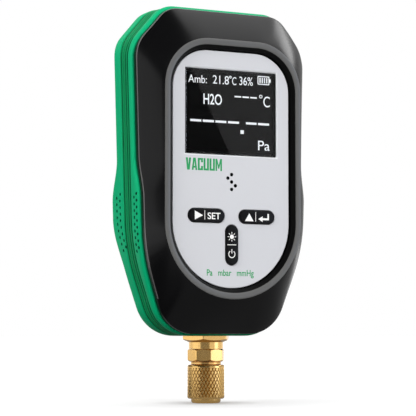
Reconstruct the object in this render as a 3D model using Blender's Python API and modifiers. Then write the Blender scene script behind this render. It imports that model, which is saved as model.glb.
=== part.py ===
"""Digital vacuum gauge with a swivel service coupling, modelled at real size in metres.

The origin is the centre of the coupling nut's lower rim. +Z runs up the coupling's axis into
the housing, +X is to the right of the display and -Y is the side that the display faces.
"""
import math

import bmesh
import bpy
from mathutils import Matrix, Vector

# Gap kept between faces that touch on the real product.
CLEAR = 0.0003

# Brass coupling, from the nut's lower rim up to the housing.
NUT_LENGTH = 0.0158
NUT_RADIUS = 0.0076
NUT_SHOULDER = 0.0014
NUT_LIP_LENGTH = 0.0018
NUT_LIP_RADIUS = 0.0061
NUT_BORE_RADIUS = 0.00495
NUT_LIP_EDGE = 0.0004
NUT_TOP_WALL = 0.0032
TAIL_RADIUS = 0.0040
TAIL_LENGTH = 0.0073
RING_THICKNESS = 0.0007
RING_GROOVE_DEPTH = 0.0005
GASKET_THICKNESS = 0.0013
GASKET_EDGE = 0.0005
COLLAR_RADIUS = 0.0064
COLLAR_LENGTH = 0.0009
OCTAGON_FLATS = 0.0145
OCTAGON_LENGTH = 0.0052
OCTAGON_TURN = math.radians(-12.0)
STUB_RADIUS = 0.0043
STUB_LENGTH = 0.0040
NECK_RADIUS = 0.0070
NECK_LENGTH = 0.0026
HEX_FLATS = 0.0180
HEX_LENGTH = 0.0022
HEX_TURN = math.radians(-2.5)
SHANK_RADIUS = 0.0050
SHANK_END = 0.0020
GAS_BORE_RADIUS = 0.0018
FLAT_CHAMFER = 0.0006
DEPRESSOR_RADIUS = 0.0014
DEPRESSOR_PIN_RADIUS = 0.0006
WASHER_RADIUS = 0.00725
WASHER_THICKNESS = 0.0010
LOCKNUT_FLATS = 0.0140
LOCKNUT_THICKNESS = 0.0036
SENSOR_RADIUS = 0.0065
SENSOR_CAN_LENGTH = 0.0060
ORING_WIRE_RADIUS = 0.0006

# Outline of the housing's front lip, as the corners of half a rounded polygon. Each corner's
# width is counted from the side of the face panel.
TOP_WIDTH = -0.0009
TOP_RADIUS = 0.010
SHOULDER_WIDTH = 0.0121
SHOULDER_DROP = 0.0154
SHOULDER_RADIUS = 0.015
HIP_WIDTH = 0.0096
HIP_HEIGHT = 0.0339
HIP_RADIUS = 0.080
FOOT_WIDTH = -0.0021
FOOT_RADIUS = 0.016

# The green grip band stands proud of the black lips, most at the top.
BAND_PROUD_SIDE = 0.0012
BAND_PROUD_TOP = 0.0017
BAND_PROUD_BOTTOM = 0.0008
BAND_SEAT = 0.0018
BAND_ROUNDING = 0.0022
GROOVE_PITCH = 0.0020
GROOVE_WIDTH = 0.0006
GROOVE_DEPTH = 0.0005
RIB_LEVEL = 0.00025

# Depths of the housing, from the coupling's axis to the front or to the back.
CREST_DEPTH = 0.0258
RECESS_DEPTH = 0.0038
FRONT_FLOOR = 0.0016
BACK_DEPTH = 0.0170
BACK_WALL = 0.0022
BACK_INSET = 0.0095
BACK_EDGE = 0.0008
PARTING = -0.0034
LIP_LENGTH = 0.0023
SKIRT_WALL = 0.0016
SLOPE_CROWN = 0.0005
SLOPE_WALL = 0.0020

# How deep the front lip and the rear lip lie: slim at the waist, full at the palm.
FRONT_LIP_TOP = 0.0160
FRONT_LIP_WAIST = 0.0143
FRONT_LIP_PALM = 0.0180
FRONT_LIP_FOOT = 0.0146
REAR_LIP_WAIST = 0.0067
REAR_LIP_PALM = 0.0121
REAR_LIP_FOOT = 0.0070
BROW_DROP = 0.005
BROW_LENGTH = 0.013
REAR_BROW = 0.0032
REAR_BROW_DROP = 0.010
REAR_BROW_LENGTH = 0.012
REAR_SWELL_HEIGHT = 0.0260
WAIST_HEIGHT = 0.0710
PALM_TOP_HEIGHT = 0.0540
PALM_LOW_HEIGHT = 0.0475

# Face panel, its recess and the flat crest around it.
PANEL_BORDER = 0.0056
PANEL_DROP = 0.0175
PANEL_RISE = 0.0184
PANEL_RADIUS = 0.0155
PANEL_THICKNESS = 0.0010
CHANNEL_WIDTH = 0.0022
CREST_WIDTH = 0.0021

# Display.
WINDOW_WIDTH = 0.0414
WINDOW_HEIGHT = 0.0347
WINDOW_DROP = 0.0074
WINDOW_LEDGE = 0.0010
LCD_THICKNESS = 0.0036
LCD_FRAME_WALL = 0.0014

# Keys and the sounding holes above them.
KEY_LENGTH = 0.0165
KEY_WIDTH = 0.0058
KEY_PROUD = 0.0009
KEY_TRAVEL = 0.0005
KEY_FLANGE = 0.0008
KEY_FLANGE_THICKNESS = 0.0010
KEY_EDGE = 0.0004
KEY_OFFSET = 0.0114
KEY_ROW_DROP = 0.0139
POWER_KEY_DROP = 0.0116
POWER_KEY_RISE = 0.0173
VENT_RADIUS = 0.00065
VENT_STEP = 0.0017
VENT_DROP = 0.0108
VENT_RISE = 0.0015

# Circuit board and what it carries.
BOARD_THICKNESS = 0.0016
BOARD_INSET = 0.0004
BOARD_SCREW_HALF = 0.0140
BOARD_SCREW_DROP = 0.0184
BOARD_SCREW_LOW_HALF = 0.0200
BOARD_SCREW_LOW_HEIGHT = 0.0112
BOSS_RADIUS = 0.0025
SCREW_RADIUS = 0.0011
SCREW_HEAD_RADIUS = 0.0021
SCREW_HEAD_THICKNESS = 0.0014
SCREW_HEAD_EDGE = 0.0006
SCREW_POINT = 0.0007
SWITCH_SIZE = 0.0060
SWITCH_CAP_RADIUS = 0.00175
SWITCH_CAP_LENGTH = 0.0008
SWITCH_STACK = 0.0043
CHIP_SIZE = 0.0100
CHIP_THICKNESS = 0.0014
AIR_SENSOR_SIZE = 0.0030
BUZZER_RADIUS = 0.0045
BUZZER_THICKNESS = 0.0045
CONNECTOR_SIZE = (0.0080, 0.0045, 0.0040)
LEAD_RADIUS = 0.0008

# Case screws, in wells at the four corners of the back.
CASE_SCREW_INSET = 0.0077
CASE_SCREW_TOP_DROP = 0.0146
CASE_SCREW_LOW_HEIGHT = 0.0136
CASE_SCREW_RADIUS = 0.00135
CASE_HEAD_RADIUS = 0.0026
CASE_HEAD_THICKNESS = 0.0018
CASE_BOSS_RADIUS = 0.0042
CASE_WELL_DEPTH = 0.0020
CASE_SCREW_LENGTH = 0.0200

# Three slim cells behind a screwed door.
CELL_RADIUS = 0.00525
CELL_LENGTH = 0.0445
CELL_NUB_RADIUS = 0.0019
CELL_NUB_LENGTH = 0.0010
CELL_GAP = 0.0006
BAY_HEIGHT = 0.0390
BAY_WALL = 0.0015
SPRING_LENGTH = 0.0034
SPRING_WIRE_RADIUS = 0.0003
SPRING_WIDE_RADIUS = 0.00325
SPRING_NARROW_RADIUS = 0.0019
SPRING_TURNS = 2.5
BUTTON_RADIUS = 0.0027
CONTACT_THICKNESS = 0.0004
DOOR_THICKNESS = 0.0020
DOOR_MARGIN = 0.0022
DOOR_FOOT = 0.0090
DOOR_RADIUS = 0.0030
DOOR_TONGUE_WIDTH = 0.0060
DOOR_TONGUE_REACH = 0.0012
SEAT_WALL = 0.0018

# Faces around a turned piece, and along a rounded corner.
TURN_STEPS = 24
FINE_STEPS = 12
OUTLINE_STEP = 0.0080
CORNER_STEP = math.radians(13.0)
FINE_CORNER_STEP = math.radians(5.0)

# Heights that follow from the coupling's stack.
COLLAR_BOTTOM = NUT_LENGTH + CLEAR
OCTAGON_BOTTOM = COLLAR_BOTTOM + COLLAR_LENGTH
OCTAGON_TOP = OCTAGON_BOTTOM + OCTAGON_LENGTH
NECK_BOTTOM = OCTAGON_TOP + CLEAR
HEX_BOTTOM = NECK_BOTTOM + NECK_LENGTH
HEX_TOP = HEX_BOTTOM + HEX_LENGTH
BODY_BOTTOM = HEX_TOP + CLEAR + BAND_PROUD_BOTTOM
SKIRT_INSET = BAND_SEAT + SKIRT_WALL
WASHER_BOTTOM = BODY_BOTTOM + SKIRT_INSET + CLEAR
LOCKNUT_BOTTOM = WASHER_BOTTOM + WASHER_THICKNESS + CLEAR
LOCKNUT_TOP = LOCKNUT_BOTTOM + LOCKNUT_THICKNESS
SHANK_TOP = LOCKNUT_TOP + SHANK_END
TAIL_BOTTOM = COLLAR_BOTTOM - CLEAR - TAIL_LENGTH
RING_TOP = NUT_LENGTH - NUT_TOP_WALL - CLEAR
SENSOR_FLOOR = SHANK_TOP + 2 * ORING_WIRE_RADIUS + 2 * CLEAR
SENSOR_TOP = SENSOR_FLOOR + SENSOR_CAN_LENGTH

# Planes behind the panel, counted along Y.
CREST_Y = -CREST_DEPTH
RECESS_Y = CREST_Y + RECESS_DEPTH
FLOOR_Y = RECESS_Y + FRONT_FLOOR
PANEL_BACK_Y = RECESS_Y - CLEAR
PANEL_FRONT_Y = PANEL_BACK_Y - PANEL_THICKNESS
KEY_FRONT_Y = PANEL_FRONT_Y - KEY_PROUD
KEY_FLANGE_Y = FLOOR_Y + CLEAR
KEY_BACK_Y = KEY_FLANGE_Y + KEY_FLANGE_THICKNESS
SWITCH_TOP_Y = KEY_BACK_Y + KEY_TRAVEL + CLEAR
BOARD_FRONT_Y = SWITCH_TOP_Y + SWITCH_STACK
BOARD_BACK_Y = BOARD_FRONT_Y + BOARD_THICKNESS
BACK_FLOOR_Y = BACK_DEPTH - BACK_WALL

# Places on the face, stacked from the panel's foot up to the housing's top.
PANEL_HALF = WINDOW_WIDTH / 2 + PANEL_BORDER
PANEL_BOTTOM = BODY_BOTTOM + PANEL_RISE
POWER_KEY_Z = PANEL_BOTTOM + POWER_KEY_RISE
KEY_ROW_Z = POWER_KEY_Z + POWER_KEY_DROP
VENT_CENTRE = KEY_ROW_Z + KEY_ROW_DROP
WINDOW_BOTTOM = VENT_CENTRE + VENT_DROP
WINDOW_TOP = WINDOW_BOTTOM + WINDOW_HEIGHT
PANEL_TOP = WINDOW_TOP + WINDOW_DROP
BODY_TOP = PANEL_TOP + PANEL_DROP
KEYS = {
    "key_right_set": (-KEY_OFFSET, KEY_ROW_Z, 0.0),
    "key_up_enter": (KEY_OFFSET, KEY_ROW_Z, 0.0),
    "key_power": (0.0, POWER_KEY_Z, math.pi / 2),
}

# Places in the battery bay.
BAY_BOTTOM = BODY_BOTTOM + BAY_HEIGHT
END_ROOM = CONTACT_THICKNESS + SPRING_LENGTH + 3 * CLEAR
CELL_BOTTOM = BAY_BOTTOM + END_ROOM
CELL_TOP = CELL_BOTTOM + CELL_LENGTH
BAY_TOP = CELL_TOP + END_ROOM
CELL_PITCH = 2 * CELL_RADIUS + CELL_GAP
BAY_HALF = CELL_PITCH + CELL_RADIUS + CLEAR
DOOR_BACK_Y = BACK_DEPTH
DOOR_FRONT_Y = DOOR_BACK_Y - DOOR_THICKNESS
SEAT_Y = DOOR_FRONT_Y - CLEAR
CELL_Y = DOOR_FRONT_Y - 2 * CLEAR - CELL_RADIUS
BAY_FLOOR_Y = CELL_Y - CELL_RADIUS - CLEAR
DOOR_HALF = BAY_HALF + DOOR_MARGIN
DOOR_TOP = BAY_TOP + DOOR_MARGIN
DOOR_BOTTOM = BAY_BOTTOM - DOOR_FOOT
DOOR_SCREW_Z = BAY_BOTTOM - BAY_WALL - DOOR_FOOT / 2 + CLEAR

parts = bpy.data.collections.new("vacuum_gauge")
cutters = bpy.data.collections.new("cutters")


def clear_scene():
    """Start from nothing, whatever file the script runs in."""
    for old in list(bpy.data.objects):
        bpy.data.objects.remove(old)
    for collection in (parts, cutters):
        bpy.context.scene.collection.children.link(collection)


def finish(name, colour, roughness, metallic=0.0):
    """The moulded, printed or turned surface that a piece has."""
    material = bpy.data.materials.new(name)
    material.use_nodes = True
    shader = material.node_tree.nodes["Principled BSDF"]
    shader.inputs["Base Color"].default_value = (*colour, 1.0)
    shader.inputs["Roughness"].default_value = roughness
    shader.inputs["Metallic"].default_value = metallic
    return material


FINISHES = {
    "black_shell": finish("black_shell", (0.012, 0.012, 0.013), 0.35),
    "green_grip": finish("green_grip", (0.003, 0.37, 0.15), 0.45),
    "silver_panel": finish("silver_panel", (0.62, 0.64, 0.68), 0.40),
    "clear_window": finish("clear_window", (0.02, 0.02, 0.02), 0.05),
    "display_glass": finish("display_glass", (0.03, 0.03, 0.03), 0.10),
    "white_plastic": finish("white_plastic", (0.75, 0.75, 0.72), 0.50),
    "black_key": finish("black_key", (0.01, 0.01, 0.01), 0.50),
    "board_green": finish("board_green", (0.01, 0.12, 0.04), 0.45),
    "chip_black": finish("chip_black", (0.02, 0.02, 0.02), 0.55),
    "brass": finish("brass", (0.72, 0.47, 0.18), 0.25, 1.0),
    "steel": finish("steel", (0.55, 0.55, 0.55), 0.30, 1.0),
    "seal_rubber": finish("seal_rubber", (0.015, 0.015, 0.015), 0.70),
    "cell_jacket": finish("cell_jacket", (0.10, 0.13, 0.20), 0.35),
}


def add_object(name, mesh, finish_name, location=(0.0, 0.0, 0.0)):
    """Place a finished mesh as a part, or as a cutter where it has no finish."""
    obj = bpy.data.objects.new(name, mesh)
    obj.location = location
    if finish_name:
        mesh.materials.append(FINISHES[finish_name])
        parts.objects.link(obj)
        return obj
    obj.hide_render = True
    obj.display_type = "WIRE"
    cutters.objects.link(obj)
    return obj


def mesh_from(name, form, smooth=True):
    """Close a bmesh as a named mesh, with its faces pointing out."""
    bmesh.ops.recalc_face_normals(form, faces=form.faces)
    mesh = bpy.data.meshes.new(name)
    form.to_mesh(mesh)
    form.free()
    if smooth:
        mesh.shade_smooth()
        mesh.set_sharp_from_angle(angle=math.radians(30.0))
    return mesh


def box(name, low, high, finish_name=None):
    """A block between two corners."""
    form = bmesh.new()
    bmesh.ops.create_cube(form, size=1.0)
    low, high = Vector(low), Vector(high)
    bmesh.ops.scale(form, vec=high - low, verts=form.verts)
    bmesh.ops.translate(form, vec=(low + high) / 2, verts=form.verts)
    return add_object(name, mesh_from(name, form, smooth=False), finish_name)


def rod(name, radius, x, z, front, back, finish_name=None, segments=FINE_STEPS):
    """A round bar along Y, used for bosses, holes and wells."""
    form = bmesh.new()
    bmesh.ops.create_cone(
        form, cap_ends=True, segments=segments, radius1=radius, radius2=radius, depth=back - front
    )
    bmesh.ops.rotate(form, matrix=Matrix.Rotation(math.pi / 2, 3, "X"), verts=form.verts)
    bmesh.ops.translate(form, vec=(x, (front + back) / 2, z), verts=form.verts)
    return add_object(name, mesh_from(name, form), finish_name)


def turned(name, profile, finish_name=None, segments=TURN_STEPS, location=(0.0, 0.0, 0.0)):
    """Turn a profile of (radius, height) pairs, given down its outer side, about Z."""
    mesh = bpy.data.meshes.new(name)
    closed = profile[0][0] > 0.0
    edges = [(i, i + 1) for i in range(len(profile) - 1)]
    if closed:
        edges.append((len(profile) - 1, 0))
    mesh.from_pydata([(radius, 0.0, height) for radius, height in profile], edges, [])
    obj = add_object(name, mesh, finish_name, location)
    screw = obj.modifiers.new("turning", "SCREW")
    screw.steps = segments
    screw.render_steps = segments
    screw.use_merge_vertices = True
    screw.merge_threshold = 0.00001
    return obj


def cut(obj, *tools, operation="DIFFERENCE"):
    """Take each tool away from a piece, or join or cross it."""
    for tool in tools:
        boolean = obj.modifiers.new(tool.name, "BOOLEAN")
        boolean.operation = operation
        boolean.solver = "EXACT"
        boolean.object = tool


def prism_waste(name, sides, flats, turn, bottom, top):
    """What a mill takes off a round bar to leave flats: a disc with a many-sided hole."""
    reach = 2 * flats
    disc = turned(name, [(0.0, top), (reach, top), (reach, bottom), (0.0, bottom)])
    form = bmesh.new()
    corner = flats / 2 / math.cos(math.pi / sides)
    bmesh.ops.create_cone(
        form, cap_ends=True, segments=sides, radius1=corner, radius2=corner, depth=2 * (top - bottom)
    )
    # The first corner of the cone lies on +Y.
    spin = Matrix.Rotation(turn - math.pi / 2, 3, "Z")
    bmesh.ops.rotate(form, matrix=spin, verts=form.verts)
    bmesh.ops.translate(form, vec=(0.0, 0.0, (bottom + top) / 2), verts=form.verts)
    core = add_object(name + "_core", mesh_from(name + "_core", form, smooth=False), None)
    cut(disc, core)
    return disc


def plate(name, loops, front, back, finish_name=None):
    """A flat sheet between two depths, from its outline and the outlines of its holes."""
    curve = bpy.data.curves.new(name, "CURVE")
    curve.dimensions = "2D"
    curve.fill_mode = "BOTH"
    curve.extrude = (back - front) / 2
    for loop in loops:
        spline = curve.splines.new("POLY")
        spline.points.add(len(loop) - 1)
        for point, (x, z) in zip(spline.points, loop):
            point.co = (x, z, 0.0, 1.0)
        spline.use_cyclic_u = True
    flat = bpy.data.objects.new(name + "_outline", curve)
    bpy.context.scene.collection.objects.link(flat)
    flat.rotation_euler.x = math.pi / 2
    flat.location.y = (front + back) / 2
    return mesh_from_curve(name, flat, finish_name)


def mesh_from_curve(name, flat, finish_name):
    """Turn a curve into a mesh with its caps welded, standing where the curve stood."""
    bpy.context.view_layer.update()
    evaluated = flat.evaluated_get(bpy.context.evaluated_depsgraph_get())
    source = bpy.data.meshes.new_from_object(evaluated)
    form = bmesh.new()
    form.from_mesh(source)
    bmesh.ops.remove_doubles(form, verts=form.verts, dist=0.000001)
    obj = add_object(name, mesh_from(name, form, smooth=False), finish_name)
    obj.matrix_world = flat.matrix_world.copy()
    bpy.data.objects.remove(flat)
    bpy.data.meshes.remove(source)
    return obj


def wire(name, points, radius, finish_name):
    """A round wire along a row of points, with flat ends."""
    curve = bpy.data.curves.new(name, "CURVE")
    curve.dimensions = "3D"
    curve.bevel_depth = radius
    curve.bevel_resolution = 1
    curve.use_fill_caps = True
    spline = curve.splines.new("POLY")
    spline.points.add(len(points) - 1)
    for point, place in zip(spline.points, points):
        point.co = (*place, 1.0)
    line = bpy.data.objects.new(name + "_line", curve)
    bpy.context.scene.collection.objects.link(line)
    return mesh_from_curve(name, line, finish_name)


def arc(centre, radius, start, end, step=CORNER_STEP):
    """Points along an arc, both ends included."""
    count = max(2, math.ceil(abs(end - start) / step))
    turns = [start + (end - start) * i / count for i in range(count + 1)]
    return [(centre[0] + radius * math.cos(t), centre[1] + radius * math.sin(t)) for t in turns]


def circle(x, z, radius, segments=FINE_STEPS):
    """A full circle of points in the plane of the face."""
    return arc((x, z), radius, 0.0, math.tau, math.tau / segments)[:-1]


def rectangle(half, bottom, top, radius=0.0):
    """A rectangle centred on X = 0, with round corners where a radius is given."""
    if not radius:
        return [(half, bottom), (half, top), (-half, top), (-half, bottom)]
    inner, low, high = half - radius, bottom + radius, top - radius
    quarter = math.pi / 2
    return (
        arc((inner, low), radius, -quarter, 0.0)
        + arc((inner, high), radius, 0.0, quarter)
        + arc((-inner, high), radius, quarter, 2 * quarter)
        + arc((-inner, low), radius, 2 * quarter, 3 * quarter)
    )


def pill(length, width, turn=0.0, x=0.0, z=0.0):
    """A slot shape with round ends, lying along X until it is turned."""
    reach, radius = (length - width) / 2, width / 2
    quarter = math.pi / 2
    step = math.radians(20.0)
    points = arc((reach, 0.0), radius, -quarter, quarter, step)
    points += arc((-reach, 0.0), radius, quarter, 3 * quarter, step)
    cos, sin = math.cos(turn), math.sin(turn)
    return [(x + u * cos - v * sin, z + u * sin + v * cos) for u, v in points]


def panel_outline(grow, step=FINE_CORNER_STEP):
    """Half the panel's outline grown by a margin: a round-cornered top over a half circle."""
    half, top, radius = PANEL_HALF + grow, PANEL_TOP + grow, PANEL_RADIUS + grow
    low = PANEL_BOTTOM + PANEL_HALF
    corner = arc((half - radius, top - radius), radius, math.pi / 2, 0.0, step)
    foot = arc((0.0, low), half, 0.0, -math.pi / 2, step)
    return [(0.0, top)] + corner + foot


def body_outline(side, top, bottom):
    """Half the lip's outline, grown by one margin at its sides and by others at its ends."""
    corners = [
        Vector((0.0, BODY_TOP)),
        Vector((PANEL_HALF + TOP_WIDTH, BODY_TOP)),
        Vector((PANEL_HALF + SHOULDER_WIDTH, BODY_TOP - SHOULDER_DROP)),
        Vector((PANEL_HALF + HIP_WIDTH, BODY_BOTTOM + HIP_HEIGHT)),
        Vector((PANEL_HALF + FOOT_WIDTH, BODY_BOTTOM)),
        Vector((0.0, BODY_BOTTOM)),
    ]
    radii = [TOP_RADIUS, SHOULDER_RADIUS, HIP_RADIUS, FOOT_RADIUS]
    lines = []
    for index, margin in enumerate([top, side, side, side, bottom]):
        along = (corners[index + 1] - corners[index]).normalized()
        out = Vector((-along.y, along.x))
        lines.append((corners[index] + out * margin, along))
    points = [Vector((0.0, BODY_TOP + top))]
    for index, radius in enumerate(radii):
        (base, along), (following, onward) = lines[index], lines[index + 1]
        gap = following - base
        reach = (gap.x * onward.y - gap.y * onward.x) / (along.x * onward.y - along.y * onward.x)
        corner = base + along * reach
        points += rounded_corner(corner, along, onward, max(radius + side, TOP_RADIUS / 3))
    points.append(Vector((0.0, BODY_BOTTOM - bottom)))
    return [(point[0], point[1]) for point in points]


def rounded_corner(corner, along, onward, radius):
    """The arc that rounds a corner turning right from one direction to the next."""
    turn = along.angle(onward)
    back = radius * math.tan(turn / 2)
    inward = Vector((along.y, -along.x))
    centre = corner - along * back + inward * radius
    start = math.atan2(-inward.y, -inward.x)
    return arc(centre, radius, start, start - turn, CORNER_STEP)


def body_columns():
    """Rays from the housing's middle to the lip's points, which every section shares."""
    outline = body_outline(0.0, 0.0, 0.0)
    points = [outline[0]]
    for low, high in zip(outline, outline[1:]):
        count = math.ceil(math.dist(low, high) / OUTLINE_STEP)
        for i in range(1, count + 1):
            points.append((
                low[0] + (high[0] - low[0]) * i / count,
                low[1] + (high[1] - low[1]) * i / count,
            ))
    return points


MIDDLE = (BODY_BOTTOM + BODY_TOP) / 2
COLUMNS = body_columns()


def meet_ray(outline, target):
    """Where the ray from the housing's middle through a point crosses half an outline."""
    if abs(target[0]) < 1e-9:
        end = outline[0] if target[1] > MIDDLE else outline[-1]
        return 0.0, end[1]
    ray = Vector((target[0], target[1] - MIDDLE))
    for low, high in zip(outline, outline[1:]):
        start = Vector((low[0], low[1] - MIDDLE))
        side = Vector((high[0], high[1] - MIDDLE)) - start
        spread = ray.x * side.y - ray.y * side.x
        if abs(spread) < 1e-15:
            continue
        share = (start.x * ray.y - start.y * ray.x) / spread
        reach = (start.x * side.y - start.y * side.x) / spread
        if -1e-9 <= share <= 1 + 1e-9 and reach > 0.0:
            return start.x + side.x * share, start.y + side.y * share + MIDDLE
    raise ValueError("the outline does not go round the housing's middle")


def section(outline, depth):
    """A closed ring of points: the outline on every ray, at the depth of that ray's height."""
    half = []
    for column in COLUMNS:
        x, z = meet_ray(outline, column)
        y = depth(column[1]) if callable(depth) else depth
        half.append(Vector((x, y, z)))
    return half + [Vector((-p.x, p.y, p.z)) for p in reversed(half[1:-1])]


def loft(name, sections, finish_name=None, ring=False, location=(0.0, 0.0, 0.0)):
    """Skin like-numbered sections in order, capped at the ends or closed into a ring."""
    form = bmesh.new()
    rows = [[form.verts.new(point) for point in points] for points in sections]
    pairs = list(zip(rows, rows[1:]))
    if ring:
        pairs.append((rows[-1], rows[0]))
    for near, far in pairs:
        for i, corner in enumerate(near):
            following = (i + 1) % len(near)
            form.faces.new((corner, near[following], far[following], far[i]))
    if not ring:
        form.faces.new(rows[0])
        form.faces.new(rows[-1])
    return add_object(name, mesh_from(name, form), finish_name, location)


def ease(height, low, high, low_value, high_value):
    """A value that eases from one height to another and stays level beyond them."""
    share = min(1.0, max(0.0, (height - low) / (high - low)))
    share = share * share * (3.0 - 2.0 * share)
    return low_value + (high_value - low_value) * share


def front_lip(height):
    """Depth of the front lip's edge: the housing is slim at the waist and full at the palm."""
    above = height - BODY_BOTTOM
    foot = ease(above, 0.0, PALM_LOW_HEIGHT, FRONT_LIP_FOOT, FRONT_LIP_PALM)
    waist = ease(above, PALM_TOP_HEIGHT, WAIST_HEIGHT, FRONT_LIP_PALM, FRONT_LIP_WAIST)
    brow = BODY_TOP - BODY_BOTTOM - BROW_DROP
    top = ease(above, brow - BROW_LENGTH, brow, 0.0, FRONT_LIP_TOP - FRONT_LIP_WAIST)
    return -(min(foot, waist) + top)


def rear_lip(height):
    """Depth of the rear lip's front edge, which swells at the palm and drops back at the brow."""
    above = height - BODY_BOTTOM
    foot = ease(above, REAR_SWELL_HEIGHT, PALM_LOW_HEIGHT, REAR_LIP_FOOT, REAR_LIP_PALM)
    waist = ease(above, PALM_TOP_HEIGHT, WAIST_HEIGHT, REAR_LIP_PALM, REAR_LIP_WAIST)
    return min(foot, waist) + rear_brow(height)


def rear_brow(height):
    """How far the rear lip drops back around the top, where the housing is deepest."""
    brow = BODY_TOP - REAR_BROW_DROP
    return ease(height, brow - REAR_BROW_LENGTH, brow, 0.0, REAR_BROW)


def rear_line(distance):
    """A line around the rear band, which drops back at the brow by its share of the way."""
    share = distance / (2 * GROOVE_PITCH)
    return lambda height: PARTING + distance + rear_brow(height) * share


def deeper(line, distance):
    """The same line moved along Y, whether it is level or follows the housing's height."""
    return lambda height: (line(height) if callable(line) else line) + distance


def grown(margin):
    """The lip's outline grown or shrunk evenly."""
    return body_outline(margin, margin, margin)


def mid_section(low, high, crown):
    """The section halfway up a slope, with a little crown towards one side."""
    return [(a + b) / 2 + Vector((0.0, crown, 0.0)) for a, b in zip(low, high)]


def case_screw_places():
    """Screw centres, set in from the lip beside the shoulders and beside the foot."""
    places = []
    for height in (BODY_TOP - CASE_SCREW_TOP_DROP, BODY_BOTTOM + CASE_SCREW_LOW_HEIGHT):
        reach = outline_half_width(grown(-CASE_SCREW_INSET), height)
        places += [(-reach, height), (reach, height)]
    return places


def outline_half_width(outline, height):
    """How far half an outline reaches from the middle at one height."""
    for low, high in zip(outline, outline[1:]):
        if (low[1] - height) * (high[1] - height) <= 0.0 and low[1] != high[1]:
            return low[0] + (high[0] - low[0]) * (low[1] - height) / (low[1] - high[1])
    raise ValueError("the height is outside the outline")


def board_screw_places():
    """Screw centres above the display and beside the lowest key."""
    upper, lower = BODY_TOP - BOARD_SCREW_DROP, PANEL_BOTTOM + BOARD_SCREW_LOW_HEIGHT
    places = []
    for side in (-1, 1):
        places.append((side * BOARD_SCREW_HALF, upper))
        places.append((side * BOARD_SCREW_LOW_HALF, lower))
    return places


def vent_places():
    """Five small holes that step down the panel in an S."""
    steps = [0.0, -1.0, 0.0, 1.0, 0.0]
    return [
        (side * VENT_STEP, VENT_CENTRE + (2 - index) * VENT_RISE)
        for index, side in enumerate(steps)
    ]


def small_openings():
    """Outlines of the key holes and the sounding holes, alike in the panel and the shell."""
    loops = [
        pill(KEY_LENGTH + 2 * CLEAR, KEY_WIDTH + 2 * CLEAR, turn, x, z) for x, z, turn in KEYS.values()
    ]
    return loops + [circle(x, z, VENT_RADIUS, 8) for x, z in vent_places()]


def port_hole(name):
    """The round hole in the housing's foot that the port's shank passes through."""
    return turned(name, [
        (0.0, WASHER_BOTTOM + SKIRT_INSET),
        (SHANK_RADIUS + CLEAR, WASHER_BOTTOM + SKIRT_INSET),
        (SHANK_RADIUS + CLEAR, HEX_TOP - SKIRT_INSET),
        (0.0, HEX_TOP - SKIRT_INSET),
    ])


def make_front_cover():
    """Moulded front shell: skirt, lip, sloping face, flat crest and the panel's recess."""
    crest, inner = panel_outline(CHANNEL_WIDTH + CREST_WIDTH), panel_outline(CHANNEL_WIDTH)
    lip_edge = section(grown(0.0), front_lip)
    crest_edge = section(crest, CREST_Y)
    skirt_end = PARTING - CLEAR / 2
    cover = loft("front_cover", [
        section(grown(-BAND_SEAT), skirt_end),
        section(grown(-BAND_SEAT), deeper(front_lip, LIP_LENGTH)),
        section(grown(0.0), deeper(front_lip, LIP_LENGTH)),
        lip_edge,
        mid_section(lip_edge, crest_edge, -SLOPE_CROWN),
        crest_edge,
        section(inner, CREST_Y),
        section(inner, RECESS_Y),
    ], "black_shell")
    cavity = loft("front_cavity", [
        section(grown(-SKIRT_INSET), PARTING + BAND_SEAT),
        section(grown(-SKIRT_INSET), deeper(front_lip, SLOPE_WALL)),
        section(panel_outline(CHANNEL_WIDTH + CREST_WIDTH - SLOPE_WALL / 3), FLOOR_Y),
    ])
    for number, (x, z) in enumerate(board_screw_places(), 1):
        boss = rod(f"board_boss_{number}", BOSS_RADIUS, x, z, CREST_Y, BOARD_FRONT_Y - CLEAR)
        cut(cavity, boss)
    for number, (x, z) in enumerate(case_screw_places(), 1):
        boss = rod(f"front_boss_{number}", CASE_BOSS_RADIUS, x, z, CREST_Y, PARTING - CLEAR / 2)
        cut(cavity, boss)
    cut(cover, cavity, port_hole("front_port_hole"))
    window = rectangle(WINDOW_WIDTH / 2 - WINDOW_LEDGE, WINDOW_BOTTOM + WINDOW_LEDGE,
                       WINDOW_TOP - WINDOW_LEDGE)
    cut(cover, plate("face_openings", [window] + small_openings(), CREST_Y, BOARD_FRONT_Y))
    pilot = SCREW_RADIUS + CLEAR
    for number, (x, z) in enumerate(board_screw_places(), 1):
        cut(cover, rod(f"board_pilot_{number}", pilot, x, z, FLOOR_Y + CLEAR, PARTING, segments=12))
    pilot = CASE_SCREW_RADIUS + CLEAR
    for number, (x, z) in enumerate(case_screw_places(), 1):
        tip = case_head_y(z) - CASE_SCREW_LENGTH - 2 * CLEAR
        cut(cover, rod(f"case_pilot_{number}", pilot, x, z, tip, -PARTING, segments=12))


def case_head_y(height):
    """Depth of the seat under a case screw's head, sunk below the brow."""
    return rear_lip(height) - rear_brow(height) + LIP_LENGTH + CASE_WELL_DEPTH


def groove(outline_at, centre, level, depth):
    """Three sections that make a V groove around the band."""
    half = GROOVE_WIDTH / 2
    return [
        section(outline_at(level), deeper(centre, -half)),
        section(outline_at(level - depth), centre),
        section(outline_at(level), deeper(centre, half)),
    ]


def band_outline(sink):
    """The band's crown, less a depth below it."""
    return body_outline(BAND_PROUD_SIDE - sink, BAND_PROUD_TOP - sink, BAND_PROUD_BOTTOM - sink)


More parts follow.
